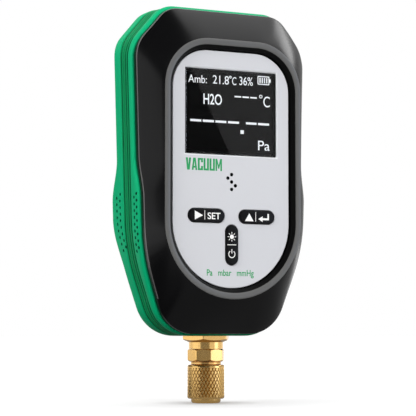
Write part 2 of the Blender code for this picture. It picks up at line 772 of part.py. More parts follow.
def make_front_band():
    """Green grip band on the front shell's skirt: rounded strip, then the ribbed belt."""
    seat = grown(-BAND_SEAT + CLEAR)
    front = deeper(front_lip, LIP_LENGTH + CLEAR)
    end = PARTING - CLEAR / 2
    belt = PARTING - 2 * GROOVE_PITCH
    sections = [
        section(seat, front),
        section(grown(0.0), front),
        section(band_outline(BAND_PROUD_SIDE / 4), deeper(front, BAND_ROUNDING / 3)),
        section(band_outline(0.0), deeper(front, BAND_ROUNDING)),
        section(band_outline(0.0), belt - GROOVE_PITCH / 2),
        section(band_outline(RIB_LEVEL), belt - GROOVE_PITCH / 2 + RIB_LEVEL),
    ]
    for centre in (belt, belt + GROOVE_PITCH):
        sections += groove(lambda level: band_outline(-level), centre, -RIB_LEVEL, GROOVE_DEPTH)
    sections += [
        section(band_outline(RIB_LEVEL), end - GROOVE_WIDTH / 2),
        section(band_outline(RIB_LEVEL + GROOVE_DEPTH), end),
        section(seat, end),
    ]
    band = loft("front_grip_band", sections, "green_grip", ring=True)
    cut(band, port_hole("front_band_hole"))


def make_rear_band():
    """Green grip band on the rear shell's skirt, with one more groove beside the parting."""
    seat = grown(-BAND_SEAT + CLEAR)
    back = deeper(rear_lip, -CLEAR)
    start = PARTING + CLEAR / 2
    belt_end = rear_line(1.5 * GROOVE_PITCH)
    sections = [
        section(seat, start),
        section(band_outline(RIB_LEVEL + GROOVE_DEPTH), start),
        section(band_outline(RIB_LEVEL), start + GROOVE_WIDTH / 2),
    ]
    sections += groove(lambda level: band_outline(-level), rear_line(GROOVE_PITCH), -RIB_LEVEL,
                       GROOVE_DEPTH)
    sections += [
        section(band_outline(RIB_LEVEL), deeper(belt_end, -RIB_LEVEL)),
        section(band_outline(0.0), belt_end),
        section(band_outline(0.0), deeper(back, -BAND_ROUNDING)),
        section(band_outline(BAND_PROUD_SIDE / 4), deeper(back, -BAND_ROUNDING / 3)),
        section(grown(0.0), back),
        section(seat, back),
    ]
    band = loft("rear_grip_band", sections, "green_grip", ring=True)
    cut(band, port_hole("rear_band_hole"))


def make_rear_cover():
    """Moulded rear shell with the battery bay, the door's seat and four screw wells."""
    lip_edge = section(grown(0.0), deeper(rear_lip, LIP_LENGTH))
    back_edge = section(grown(-BACK_INSET), BACK_DEPTH - BACK_EDGE)
    cover = loft("rear_cover", [
        section(grown(-BAND_SEAT), PARTING + CLEAR / 2),
        section(grown(-BAND_SEAT), rear_lip),
        section(grown(0.0), rear_lip),
        lip_edge,
        mid_section(lip_edge, back_edge, SLOPE_CROWN),
        back_edge,
        section(grown(-BACK_INSET - BACK_EDGE), BACK_DEPTH),
    ], "black_shell")
    cavity = loft("rear_cavity", [
        section(grown(-SKIRT_INSET), PARTING - BAND_SEAT),
        section(grown(-SKIRT_INSET), rear_lip),
        section(grown(-BACK_INSET - SLOPE_WALL / 2), BACK_FLOOR_Y),
    ])
    wall, deep = BAY_WALL, BACK_DEPTH + BAY_WALL
    cut(
        cavity,
        box("bay_block", (-BAY_HALF - wall, BAY_FLOOR_Y - wall, BAY_BOTTOM - wall),
            (BAY_HALF + wall, deep, BAY_TOP + wall)),
        box("seat_block", (-DOOR_HALF - wall, SEAT_Y - SEAT_WALL, DOOR_BOTTOM - wall),
            (DOOR_HALF + wall, deep, DOOR_TOP + DOOR_TONGUE_REACH + CLEAR + wall)),
        rod("door_boss", BOSS_RADIUS, 0.0, DOOR_SCREW_Z, BAY_FLOOR_Y, deep),
    )
    for number, (x, z) in enumerate(case_screw_places(), 1):
        cut(cavity, rod(f"rear_boss_{number}", CASE_BOSS_RADIUS, x, z, PARTING + CLEAR / 2, deep))
    cut(cover, cavity, port_hole("rear_port_hole"))
    cut(
        cover,
        box("bay", (-BAY_HALF, BAY_FLOOR_Y, BAY_BOTTOM), (BAY_HALF, deep, BAY_TOP)),
        plate("door_recess", [rectangle(DOOR_HALF + CLEAR, DOOR_BOTTOM - CLEAR, DOOR_TOP + CLEAR,
                                        DOOR_RADIUS + CLEAR)], SEAT_Y, deep),
        rod("door_pilot", SCREW_RADIUS + CLEAR, 0.0, DOOR_SCREW_Z, BAY_FLOOR_Y + BAY_WALL, deep,
            segments=12),
    )
    for side in (-1, 1):
        low, high = tongue_corners(side, CLEAR)
        cut(cover, box(f"tongue_slot_{side}", low, high))
    for number, (x, z) in enumerate(case_screw_places(), 1):
        seat = case_head_y(z)
        cut(
            cover,
            rod(f"well_{number}", CASE_HEAD_RADIUS + CLEAR, x, z, seat, deep),
            rod(f"screw_way_{number}", CASE_SCREW_RADIUS + CLEAR, x, z, PARTING - CLEAR, deep,
                segments=12),
        )


def tongue_corners(side, clearance):
    """Corners of one of the door's two tongues, which hook under the shell."""
    middle = side * DOOR_HALF / 2
    half = DOOR_TONGUE_WIDTH / 2 + clearance
    low = (middle - half, DOOR_FRONT_Y - clearance, DOOR_TOP - DOOR_RADIUS)
    high = (middle + half, DOOR_FRONT_Y + DOOR_THICKNESS / 2 + clearance,
            DOOR_TOP + DOOR_TONGUE_REACH + clearance)
    return low, high


def make_face():
    """Silver face panel with its openings, and the clear window that lies in it."""
    outline = panel_outline(0.0, CORNER_STEP)
    full = outline + [(-x, z) for x, z in reversed(outline[1:-1])]
    loops = [full, rectangle(WINDOW_WIDTH / 2, WINDOW_BOTTOM, WINDOW_TOP)] + small_openings()
    plate("face_panel", loops, PANEL_FRONT_Y, PANEL_BACK_Y, "silver_panel")
    pane = rectangle(WINDOW_WIDTH / 2 - CLEAR, WINDOW_BOTTOM + CLEAR, WINDOW_TOP - CLEAR)
    plate("display_window", [pane], PANEL_FRONT_Y, PANEL_BACK_Y, "clear_window")


def make_display():
    """Liquid crystal glass in the window's hole, held by a frame that stands on the board."""
    inset = WINDOW_LEDGE + CLEAR
    glass = rectangle(WINDOW_WIDTH / 2 - inset, WINDOW_BOTTOM + inset, WINDOW_TOP - inset)
    front, back = PANEL_BACK_Y + CLEAR, PANEL_BACK_Y + CLEAR + LCD_THICKNESS
    plate("lcd_panel", [glass], front, back, "display_glass")
    half, wall = WINDOW_WIDTH / 2 - WINDOW_LEDGE, LCD_FRAME_WALL
    low, high = WINDOW_BOTTOM + WINDOW_LEDGE, WINDOW_TOP - WINDOW_LEDGE
    frame = box("lcd_frame", (-half - wall, FLOOR_Y + CLEAR, low - wall),
                (half + wall, BOARD_FRONT_Y - CLEAR, high + wall), "white_plastic")
    cut(frame, box("lcd_pocket", (-half, CREST_Y, low), (half, back + CLEAR, high)))


def make_keys():
    """Three rubber-like key caps with a flange behind the shell's floor, and their switches."""
    for name, (x, z, turn) in KEYS.items():
        shapes = [(KEY_FLANGE, KEY_BACK_Y), (KEY_FLANGE, KEY_FLANGE_Y), (0.0, KEY_FLANGE_Y)]
        shapes += arc((-KEY_EDGE, KEY_FRONT_Y + KEY_EDGE), KEY_EDGE, 0.0, -math.pi / 2, math.pi / 4)
        sections = []
        for grow, depth in shapes:
            loop = pill(KEY_LENGTH + 2 * grow, KEY_WIDTH + 2 * grow, turn)
            sections.append([Vector((u, depth, v)) for u, v in loop])
        loft(name, sections, "black_key", location=(x, 0.0, z))
        switch = name.replace("key_", "switch_")
        half, body = SWITCH_SIZE / 2, SWITCH_TOP_Y + SWITCH_CAP_LENGTH
        block = box(switch, (x - half, body, z - half), (x + half, BOARD_FRONT_Y - CLEAR, z + half),
                    "chip_black")
        cap = rod(switch + "_cap", SWITCH_CAP_RADIUS, x, z, SWITCH_TOP_Y, body + SWITCH_CAP_LENGTH,
                  segments=16)
        cut(block, cap, operation="UNION")


def make_board():
    """Circuit board on its four bosses, with the parts soldered to it."""
    outline = panel_outline(CHANNEL_WIDTH + CREST_WIDTH - BOARD_INSET, CORNER_STEP)
    full = outline + [(-x, z) for x, z in reversed(outline[1:-1])]
    holes = [circle(x, z, SCREW_RADIUS + CLEAR, 12) for x, z in board_screw_places()]
    plate("main_board", [full] + holes, BOARD_FRONT_Y, BOARD_BACK_Y, "board_green")
    for number, (x, z) in enumerate(board_screw_places(), 1):
        make_screw(f"board_screw_{number}", x, z, BOARD_BACK_Y + CLEAR, SCREW_RADIUS,
                   SCREW_HEAD_RADIUS, SCREW_HEAD_THICKNESS, BOARD_BACK_Y - FLOOR_Y - 2 * CLEAR)
    rear = BOARD_BACK_Y + CLEAR
    half = AIR_SENSOR_SIZE / 2
    box("ambient_sensor", (-half, BOARD_FRONT_Y - CLEAR - half, VENT_CENTRE - half),
        (half, BOARD_FRONT_Y - CLEAR, VENT_CENTRE + half), "white_plastic")
    half = CHIP_SIZE / 2
    box("processor_chip", (-half, rear, WINDOW_BOTTOM - half),
        (half, rear + CHIP_THICKNESS, WINDOW_BOTTOM + half), "chip_black")
    rod("buzzer", BUZZER_RADIUS, -KEY_OFFSET, VENT_CENTRE, rear, rear + BUZZER_THICKNESS,
        "chip_black")
    wide, deep, tall = CONNECTOR_SIZE
    box("sensor_connector", (-wide / 2, rear, connector_z() - tall / 2),
        (wide / 2, rear + deep, connector_z() + tall / 2), "white_plastic")


def connector_z():
    """Height of the sensor's plug on the board, above the sensor."""
    return SENSOR_TOP + 2 * CONNECTOR_SIZE[2]


def make_screw(name, x, z, seat, radius, head_radius, head, length):
    """A pan-head screw lying along Y, its head's underside on the seat."""
    profile = [
        (0.0, head),
        (head_radius - SCREW_HEAD_EDGE, head),
        (head_radius, head - SCREW_HEAD_EDGE),
        (head_radius, 0.0),
        (radius, 0.0),
        (radius, -length + SCREW_POINT),
        (radius - SCREW_POINT, -length),
        (0.0, -length),
    ]
    screw = turned(name, profile, "steel", segments=10, location=(x, seat, z))
    screw.rotation_euler.x = -math.pi / 2


def make_case_screws():
    """The four long screws that draw the two shells together."""
    for number, (x, z) in enumerate(case_screw_places(), 1):
        make_screw(f"case_screw_{number}", x, z, case_head_y(z) + CLEAR, CASE_SCREW_RADIUS,
                   CASE_HEAD_RADIUS, CASE_HEAD_THICKNESS, CASE_SCREW_LENGTH)


def make_port():
    """Brass port with its outside hex, and what clamps it in the housing's foot."""
    corner = HEX_FLATS / 2 / math.cos(math.pi / 6)
    socket_top = NECK_BOTTOM + STUB_LENGTH + CLEAR
    port = turned("sensor_port", [
        (SHANK_RADIUS - FLAT_CHAMFER, SHANK_TOP),
        (SHANK_RADIUS, SHANK_TOP - FLAT_CHAMFER),
        (SHANK_RADIUS, HEX_TOP),
        (corner, HEX_TOP),
        (corner, HEX_BOTTOM + FLAT_CHAMFER),
        (HEX_FLATS / 2, HEX_BOTTOM),
        (NECK_RADIUS, HEX_BOTTOM),
        (NECK_RADIUS, NECK_BOTTOM),
        (STUB_RADIUS + CLEAR, NECK_BOTTOM),
        (STUB_RADIUS + CLEAR, socket_top),
        (GAS_BORE_RADIUS, socket_top),
        (GAS_BORE_RADIUS, SHANK_TOP),
    ], "brass")
    cut(port, prism_waste("port_hex", 6, HEX_FLATS, HEX_TURN, HEX_BOTTOM - CLEAR / 2,
                          HEX_TOP + CLEAR / 2))
    turned("port_washer", [
        (WASHER_RADIUS, WASHER_BOTTOM + WASHER_THICKNESS),
        (WASHER_RADIUS, WASHER_BOTTOM),
        (SHANK_RADIUS + CLEAR, WASHER_BOTTOM),
        (SHANK_RADIUS + CLEAR, WASHER_BOTTOM + WASHER_THICKNESS),
    ], "steel", segments=FINE_STEPS)
    corner = LOCKNUT_FLATS / 2 / math.cos(math.pi / 6)
    nut = turned("port_locknut", [
        (LOCKNUT_FLATS / 2, LOCKNUT_TOP),
        (corner, LOCKNUT_TOP - FLAT_CHAMFER),
        (corner, LOCKNUT_BOTTOM),
        (SHANK_RADIUS + CLEAR, LOCKNUT_BOTTOM),
        (SHANK_RADIUS + CLEAR, LOCKNUT_TOP),
    ], "brass", segments=FINE_STEPS)
    cut(nut, prism_waste("locknut_hex", 6, LOCKNUT_FLATS, 0.0, LOCKNUT_BOTTOM - CLEAR,
                         LOCKNUT_TOP + CLEAR))
    ring_radius = SHANK_RADIUS - FLAT_CHAMFER - ORING_WIRE_RADIUS
    ring_height = SHANK_TOP + CLEAR + ORING_WIRE_RADIUS
    section_points = arc((ring_radius, ring_height), ORING_WIRE_RADIUS, math.pi, -math.pi,
                         math.radians(60.0))[:-1]
    turned("sensor_oring", section_points, "seal_rubber", segments=FINE_STEPS)
    turned("vacuum_sensor", [
        (0.0, SENSOR_TOP),
        (SENSOR_RADIUS - FLAT_CHAMFER, SENSOR_TOP),
        (SENSOR_RADIUS, SENSOR_TOP - FLAT_CHAMFER),
        (SENSOR_RADIUS, LOCKNUT_TOP + CLEAR),
        (SHANK_RADIUS + CLEAR, LOCKNUT_TOP + CLEAR),
        (SHANK_RADIUS + CLEAR, SENSOR_FLOOR),
        (GAS_BORE_RADIUS, SENSOR_FLOOR),
        (GAS_BORE_RADIUS, SENSOR_FLOOR + GAS_BORE_RADIUS),
        (0.0, SENSOR_FLOOR + GAS_BORE_RADIUS),
    ], "steel", segments=20)
    plug_y = BOARD_BACK_Y + CONNECTOR_SIZE[1] + 2 * CLEAR
    height, rise = connector_z(), connector_z() - SENSOR_TOP - CLEAR
    bend = [
        (0.0, plug_y * (1 - math.cos(t)), height - rise * (1 - math.sin(t)))
        for t in [math.pi / 2 * i / 9 for i in range(10)]
    ]
    wire("sensor_lead", bend, LEAD_RADIUS, "seal_rubber")


def make_coupler():
    """Brass coupler with its octagon, and the nut that swivels on its tail."""
    corner = OCTAGON_FLATS / 2 / math.cos(math.pi / 8)
    groove_bottom = RING_TOP - RING_THICKNESS - CLEAR
    coupler = turned("coupler_body", [
        (STUB_RADIUS, OCTAGON_TOP + STUB_LENGTH),
        (STUB_RADIUS, OCTAGON_TOP),
        (OCTAGON_FLATS / 2, OCTAGON_TOP),
        (corner, OCTAGON_TOP - FLAT_CHAMFER),
        (corner, OCTAGON_BOTTOM + FLAT_CHAMFER),
        (OCTAGON_FLATS / 2, OCTAGON_BOTTOM),
        (COLLAR_RADIUS, OCTAGON_BOTTOM),
        (COLLAR_RADIUS, COLLAR_BOTTOM),
        (TAIL_RADIUS, COLLAR_BOTTOM),
        (TAIL_RADIUS, RING_TOP + CLEAR),
        (TAIL_RADIUS - RING_GROOVE_DEPTH, RING_TOP + CLEAR),
        (TAIL_RADIUS - RING_GROOVE_DEPTH, groove_bottom),
        (TAIL_RADIUS, groove_bottom),
        (TAIL_RADIUS, TAIL_BOTTOM + FLAT_CHAMFER),
        (TAIL_RADIUS - FLAT_CHAMFER, TAIL_BOTTOM),
        (GAS_BORE_RADIUS, TAIL_BOTTOM),
        (GAS_BORE_RADIUS, OCTAGON_TOP + STUB_LENGTH),
    ], "brass")
    cut(coupler, prism_waste("coupler_octagon", 8, OCTAGON_FLATS, OCTAGON_TURN,
                             OCTAGON_BOTTOM - CLEAR / 2, OCTAGON_TOP + CLEAR / 2))
    hole, wall_bottom = TAIL_RADIUS + CLEAR, NUT_LENGTH - NUT_TOP_WALL
    edge, eighth = NUT_SHOULDER, math.pi / 4
    shoulder = arc((NUT_RADIUS - edge, NUT_LENGTH - edge), edge, 2 * eighth, 0.0, eighth)
    shoulder += arc((NUT_RADIUS - edge, NUT_LIP_LENGTH + edge), edge, 0.0, -2 * eighth, eighth)
    turned("swivel_nut", shoulder + [
        (NUT_LIP_RADIUS, NUT_LIP_LENGTH),
        (NUT_LIP_RADIUS, NUT_LIP_EDGE),
        (NUT_LIP_RADIUS - NUT_LIP_EDGE, 0.0),
        (NUT_BORE_RADIUS + NUT_LIP_EDGE, 0.0),
        (NUT_BORE_RADIUS, NUT_LIP_EDGE),
        (NUT_BORE_RADIUS, wall_bottom),
        (hole, wall_bottom),
        (hole, NUT_LENGTH),
    ], "brass", segments=28)
    ring_inner = TAIL_RADIUS - RING_GROOVE_DEPTH + CLEAR
    ring_outer = NUT_BORE_RADIUS - CLEAR
    turned("nut_retaining_ring", [
        (ring_outer, RING_TOP),
        (ring_outer, RING_TOP - RING_THICKNESS),
        (ring_inner, RING_TOP - RING_THICKNESS),
        (ring_inner, RING_TOP),
    ], "steel", segments=FINE_STEPS)
    gasket_top = TAIL_BOTTOM - CLEAR
    turned("flare_gasket", [
        (ring_outer, gasket_top),
        (ring_outer, gasket_top - GASKET_THICKNESS + GASKET_EDGE),
        (ring_outer - GASKET_EDGE, gasket_top - GASKET_THICKNESS),
        (GAS_BORE_RADIUS, gasket_top - GASKET_THICKNESS),
        (GAS_BORE_RADIUS, gasket_top),
    ], "seal_rubber", segments=FINE_STEPS)
    depressor_bottom = TAIL_BOTTOM + DEPRESSOR_RADIUS
    turned("core_depressor", [
        (0.0, depressor_bottom + 2 * DEPRESSOR_RADIUS),
        (DEPRESSOR_RADIUS, depressor_bottom + 2 * DEPRESSOR_RADIUS),
        (DEPRESSOR_RADIUS, depressor_bottom),
        (DEPRESSOR_PIN_RADIUS, depressor_bottom),
        (DEPRESSOR_PIN_RADIUS, gasket_top - GASKET_THICKNESS / 2),
        (0.0, gasket_top - GASKET_THICKNESS / 2),
    ], "brass", segments=12)


def make_cells():
    """Three slim cells in series, with their springs, tabs and links."""
    cell_profile = [
        (0.0, CELL_LENGTH),
        (CELL_NUB_RADIUS, CELL_LENGTH),
        (CELL_NUB_RADIUS, CELL_LENGTH - CELL_NUB_LENGTH),
        (CELL_RADIUS, CELL_LENGTH - CELL_NUB_LENGTH),
        (CELL_RADIUS, 0.0),
        (0.0, 0.0),
    ]
    near, far = BAY_BOTTOM + CLEAR, BAY_TOP - CLEAR
    for number, (lane, upright) in enumerate(((-1, True), (0, False), (1, True)), 1):
        x = lane * CELL_PITCH
        cell = turned(f"cell_{number}", cell_profile, "cell_jacket", segments=16,
                      location=(x, CELL_Y, CELL_BOTTOM if upright else CELL_TOP))
        cell.rotation_euler.x = 0.0 if upright else math.pi
        base = near + CONTACT_THICKNESS + CLEAR if upright else far - CONTACT_THICKNESS - CLEAR
        way = 1 if upright else -1
        make_spring(f"cell_spring_{number}", x, base, way)
    reach = CELL_RADIUS - CLEAR
    tab, link = (-reach, reach), (-reach, CELL_PITCH + reach)
    contacts = {
        "contact_tab_low": (-CELL_PITCH, tab, near, 1),
        "contact_link_low": (0.0, link, near, 1),
        "contact_link_top": (-CELL_PITCH, link, far, -1),
        "contact_tab_top": (CELL_PITCH, tab, far, -1),
    }
    for name, (x, (left, right), z, way) in contacts.items():
        low, high = sorted((z, z + way * CONTACT_THICKNESS))
        leaf = box(name, (x + left, CELL_Y - reach, low), (x + right, CELL_Y + reach, high), "steel")
        if name == "contact_tab_low":
            continue
        # A button pressed up from the leaf meets the cell's nub.
        top = SPRING_LENGTH + CONTACT_THICKNESS + CLEAR
        button = turned(name + "_button", [
            (0.0, top),
            (CELL_NUB_RADIUS, top),
            (BUTTON_RADIUS, CONTACT_THICKNESS / 2),
            (0.0, CONTACT_THICKNESS / 2),
        ], segments=12, location=(x, CELL_Y, z))
        button.rotation_euler.x = 0.0 if way == 1 else math.pi
        cut(leaf, button, operation="UNION")


def make_spring(name, x, base, way):
    """A conical contact spring, wide on its leaf and narrow at the cell."""
    rise = SPRING_LENGTH - 2 * SPRING_WIRE_RADIUS
    count = round(SPRING_TURNS * 8)
    points = []
    for i in range(count + 1):
        share = i / count
        turn = math.tau * SPRING_TURNS * share
        radius = SPRING_WIDE_RADIUS + (SPRING_NARROW_RADIUS - SPRING_WIDE_RADIUS) * share
        z = base + way * (SPRING_WIRE_RADIUS + rise * share)
        points.append((x + radius * math.cos(turn), CELL_Y + radius * math.sin(turn), z))
    wire(name, points, SPRING_WIRE_RADIUS, "steel")


def make_door():
    """Battery door with two tongues at its top and one screw at its foot."""
    hole = circle(0.0, DOOR_SCREW_Z, SCREW_RADIUS + CLEAR, 12)
    outline = rectangle(DOOR_HALF, DOOR_BOTTOM, DOOR_TOP, DOOR_RADIUS)
    door = plate("battery_door", [outline, hole], DOOR_FRONT_Y, DOOR_BACK_Y, "black_shell")
    for side in (-1, 1):
        low, high = tongue_corners(side, 0.0)
        cut(door, box(f"tongue_{side}", low, high), operation="UNION")
    seat = DOOR_BACK_Y - SCREW_HEAD_THICKNESS
    cut(door, rod("door_head_well", SCREW_HEAD_RADIUS + CLEAR, 0.0, DOOR_SCREW_Z, seat - CLEAR,
                  BACK_DEPTH + CLEAR, segments=16))
    make_screw("door_screw", 0.0, DOOR_SCREW_Z, seat, SCREW_RADIUS, SCREW_HEAD_RADIUS,
               SCREW_HEAD_THICKNESS, seat - BAY_FLOOR_Y - BAY_WALL - 2 * CLEAR)


clear_scene()
make_front_cover()
make_front_band()
make_rear_band()
make_rear_cover()
make_face()
make_display()
make_keys()
make_board()
make_case_screws()
make_port()
make_coupler()
make_cells()
make_door()
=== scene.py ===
"""Looks of the digital vacuum gauge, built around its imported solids, in metres."""
import bisect
import math

import bmesh
import bpy
from mathutils import Matrix, Vector


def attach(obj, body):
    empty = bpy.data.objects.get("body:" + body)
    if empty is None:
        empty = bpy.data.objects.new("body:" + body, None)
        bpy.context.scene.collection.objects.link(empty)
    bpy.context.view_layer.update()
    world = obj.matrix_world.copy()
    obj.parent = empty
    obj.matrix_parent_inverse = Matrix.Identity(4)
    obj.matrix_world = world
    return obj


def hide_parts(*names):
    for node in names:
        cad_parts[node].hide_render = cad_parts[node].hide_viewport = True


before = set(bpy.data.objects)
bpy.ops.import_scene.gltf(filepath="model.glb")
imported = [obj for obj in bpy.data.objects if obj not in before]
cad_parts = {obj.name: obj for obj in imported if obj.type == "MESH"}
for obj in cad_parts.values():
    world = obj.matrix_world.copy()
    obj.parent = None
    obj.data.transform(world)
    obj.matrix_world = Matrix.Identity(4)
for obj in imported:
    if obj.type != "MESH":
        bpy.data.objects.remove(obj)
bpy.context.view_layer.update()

# Front cover: the front half of the black ABS shell, injection moulded in one piece. Its slopes
# rise from a slim lip to a flat crest, and the crest surrounds a recess for the face panel.
CLEAR = 0.0003
BODY_BOTTOM = 0.0284
BODY_TOP = 0.1600
MIDDLE = (BODY_BOTTOM + BODY_TOP) / 2
PANEL_HALF = 0.0263
PANEL_BOTTOM = 0.0468
PANEL_TOP = 0.1425
PANEL_RADIUS = 0.0155
BROW_HALF = PANEL_HALF - 0.0009
SHOULDER_HALF = PANEL_HALF + 0.0121
SHOULDER_Z = BODY_TOP - 0.0154
HIP_HALF = PANEL_HALF + 0.0096
HIP_Z = BODY_BOTTOM + 0.0339
FOOT_HALF = PANEL_HALF - 0.0021
CORNER_RADII = [0.010, 0.015, 0.080, 0.016]
SMALLEST_RADIUS = 0.0033
CHANNEL_WIDTH = 0.0022
CREST_WIDTH = 0.0021
CREST_Y = -0.0258
RECESS_Y = -0.0220
FLOOR_Y = -0.0204
BOARD_FRONT_Y = -0.0140
PARTING = -0.0034
SEAM = 0.00002
FRONT_LIP_LENGTH = 0.0029
BAND_SEAT = 0.0018
SKIRT_INSET = 0.0034
SLOPE_CROWN = 0.0005
SLOPE_WALL = 0.0020
FACET = 0.00145
CREST_LINE = 0.00055
CREST_FALL = 0.00016
PAINTED_HIGHLIGHT_END = 0.042
PORT_HOLE_RADIUS = 0.0053
RAYS = 480
SHARP = math.radians(35.0)

# The front lip's depth at the foot, the palm and the waist, what the brow adds, and the heights
# above the foot between which it changes.
FOOT_LIP = 0.0146
PALM_LIP = 0.0180
WAIST_LIP = 0.0143
BROW_LIP = 0.0017
PALM_LOW = 0.0475
PALM_HIGH = 0.0540
WAIST_LOW = 0.0710
BROW_LOW = 0.1136
BROW_HIGH = 0.1266


def arc(centre, radius, start, end, step=math.radians(3.0)):
    """Points along an arc, both ends included."""
    count = max(2, math.ceil(abs(end - start) / step))
    turns = [start + (end - start) * i / count for i in range(count + 1)]
    return [Vector((centre[0] + radius * math.cos(t), centre[1] + radius * math.sin(t))) for t in turns]


def body_outline(side, top, bottom, shoulder=None):
    """Half the lip's outline, grown by one margin at its sides and by others at its ends."""
    shoulder = side if shoulder is None else shoulder
    corners = [
        Vector((0.0, BODY_TOP)),
        Vector((BROW_HALF, BODY_TOP)),
        Vector((SHOULDER_HALF, SHOULDER_Z)),
        Vector((HIP_HALF, HIP_Z)),
        Vector((FOOT_HALF, BODY_BOTTOM)),
        Vector((0.0, BODY_BOTTOM)),
    ]
    lines = []
    for index, margin in enumerate([top, shoulder, side, side, bottom]):
        along = (corners[index + 1] - corners[index]).normalized()
        lines.append((corners[index] + Vector((-along.y, along.x)) * margin, along))
    points = [Vector((0.0, BODY_TOP + top))]
    for index, radius in enumerate(CORNER_RADII):
        (base, along), (following, onward) = lines[index], lines[index + 1]
        gap = following - base
        reach = (gap.x * onward.y - gap.y * onward.x) / (along.x * onward.y - along.y * onward.x)
        turn = along.angle(onward)
        radius = max(radius + side, SMALLEST_RADIUS)
        inward = Vector((along.y, -along.x))
        centre = base + along * (reach - radius * math.tan(turn / 2)) + inward * radius
        start = math.atan2(-inward.y, -inward.x)
        points += arc(centre, radius, start, start - turn)
    return points + [Vector((0.0, BODY_BOTTOM - bottom))]


def grown(margin):
    """The lip's outline grown or shrunk evenly."""
    return body_outline(margin, margin, margin)


def panel_outline(grow):
    """Half the panel's outline grown by a margin: a round-cornered top over a half circle."""
    half, top, radius = PANEL_HALF + grow, PANEL_TOP + grow, PANEL_RADIUS + grow
    corner = arc((half - radius, top - radius), radius, math.pi / 2, 0.0)
    foot = arc((0.0, PANEL_BOTTOM + PANEL_HALF), half, 0.0, -math.pi / 2)
    return [Vector((0.0, top))] + corner + foot


def ease(height, low, high, low_value, high_value):
    """A value that eases from one height to another and stays level beyond them."""
    share = min(1.0, max(0.0, (height - low) / (high - low)))
    share = share * share * (3.0 - 2.0 * share)
    return low_value + (high_value - low_value) * share


def front_lip(height):
    """Depth of the front lip's edge: slim at the waist and full at the palm."""
    above = height - BODY_BOTTOM
    foot = ease(above, 0.0, PALM_LOW, FOOT_LIP, PALM_LIP)
    waist = ease(above, PALM_HIGH, WAIST_LOW, PALM_LIP, WAIST_LIP)
    return -(min(foot, waist) + ease(above, BROW_LOW, BROW_HIGH, 0.0, BROW_LIP))


def deeper(line, distance):
    """The same line moved along Y, whether it is level or follows the housing's height."""
    return lambda height: (line(height) if callable(line) else line) + distance


def meet(outline, bearing):
    """How far from the housing's middle a ray crosses half an outline."""
    index = bisect.bisect_left(
        outline, abs(bearing), 1, len(outline) - 1, key=lambda p: math.atan2(p.x, p.y - MIDDLE)
    )
    low, high = outline[index - 1], outline[index]
    across = Vector((high.y - low.y, low.x - high.x))
    ray = Vector((math.sin(abs(bearing)), math.cos(bearing)))
    return across.dot(low - Vector((0.0, MIDDLE))) / across.dot(ray)


LIP = grown(0.0)


def rim(outline, depth):
    """One ring of a skin: where every ray meets an outline, at a depth set by the lip's height."""
    def place(bearing):
        reach = meet(outline, bearing)
        level = depth
        if callable(depth):
            level = depth(MIDDLE + meet(LIP, bearing) * math.cos(bearing))
        return Vector((reach * math.sin(bearing), level, MIDDLE + reach * math.cos(bearing)))
    return place


def slope(near, far, crown):
    """The five rings between two others, with a little crown towards one side."""
    def at(share):
        lift = Vector((0.0, crown * 4 * share * (1 - share), 0.0))
        return lambda bearing: near(bearing).lerp(far(bearing), share) + lift
    return [at(i / 6) for i in range(1, 6)]


def pull(form, edges):
    """Draw a row of edges out, and give its new corners and the new row."""
    drawn = bmesh.ops.extrude_edge_only(form, edges=edges)["geom"]
    corners = {part for part in drawn if isinstance(part, bmesh.types.BMVert)}
    fresh = [part for part in drawn if isinstance(part, bmesh.types.BMEdge)]
    return corners, [edge for edge in fresh if edge.verts[0] in corners and edge.verts[1] in corners]


def skin(rings, closed=False):
    """Draw a loop out from ring to ring along its rays, then cap it or close it on itself."""
    form = bmesh.new()
    bmesh.ops.create_circle(form, segments=RAYS, radius=0.01)
    stand = Matrix.Translation((0.0, 0.0, MIDDLE)) @ Matrix.Rotation(math.pi / 2, 4, "X")
    bmesh.ops.transform(form, matrix=stand, verts=form.verts)
    corners, loop, loops = set(form.verts), form.edges[:], []
    for ring in rings:
        if loops:
            corners, loop = pull(form, loop)
        for corner in corners:
            corner.co = ring(math.atan2(corner.co.x, corner.co.z - MIDDLE))
        loops.append(loop)
    if closed:
        bmesh.ops.bridge_loops(form, edges=loops[0] + loops[-1])
    else:
        bmesh.ops.contextual_create(form, geom=loops[0])
        bmesh.ops.contextual_create(form, geom=loops[-1])
    bmesh.ops.recalc_face_normals(form, faces=form.faces)
    return form, loops


def soften(form, edges, radius, segments=3, material=-1):
    """Round a row of edges, with a material of its own where one is asked for."""
    bmesh.ops.bevel(form, geom=edges, offset=radius, offset_type="OFFSET", segments=segments,
                    profile=0.5, affect="EDGES", clamp_overlap=True, material=material)


def paint(form, rings, slot):
    """Give the faces between the first and last of some rings a material slot."""
    edges = {edge for ring in rings for edge in ring}
    for face in form.faces:
        if sum(edge in edges for edge in face.edges) == 2:
            face.material_index = slot


def piece(name, form, *materials):
    """Keep a bmesh as an object with its materials, smooth but for its sharp edges."""
    mesh = bpy.data.meshes.new(name)
    form.to_mesh(mesh)
    form.free()
    for material in materials:
        mesh.materials.append(material)
    mesh.shade_smooth()
    mesh.set_sharp_from_angle(angle=SHARP)
    obj = bpy.data.objects.new(name, mesh)
    bpy.context.scene.collection.objects.link(obj)
    return obj


def carve(obj, tool, operation="DIFFERENCE"):
    """Cut a tool from an object, or join the two, and keep the result as its mesh."""
    boolean = obj.modifiers.new("carve", "BOOLEAN")
    boolean.operation = operation
    boolean.solver = "EXACT"
    boolean.material_mode = "TRANSFER"
    boolean.object = tool
    bpy.context.view_layer.update()
    shown = obj.evaluated_get(bpy.context.evaluated_depsgraph_get())
    cut = bpy.data.meshes.new_from_object(shown)
    obj.modifiers.clear()
    obj.data = cut
    cut.set_sharp_from_angle(angle=SHARP)
    bpy.data.objects.remove(tool)
    return obj


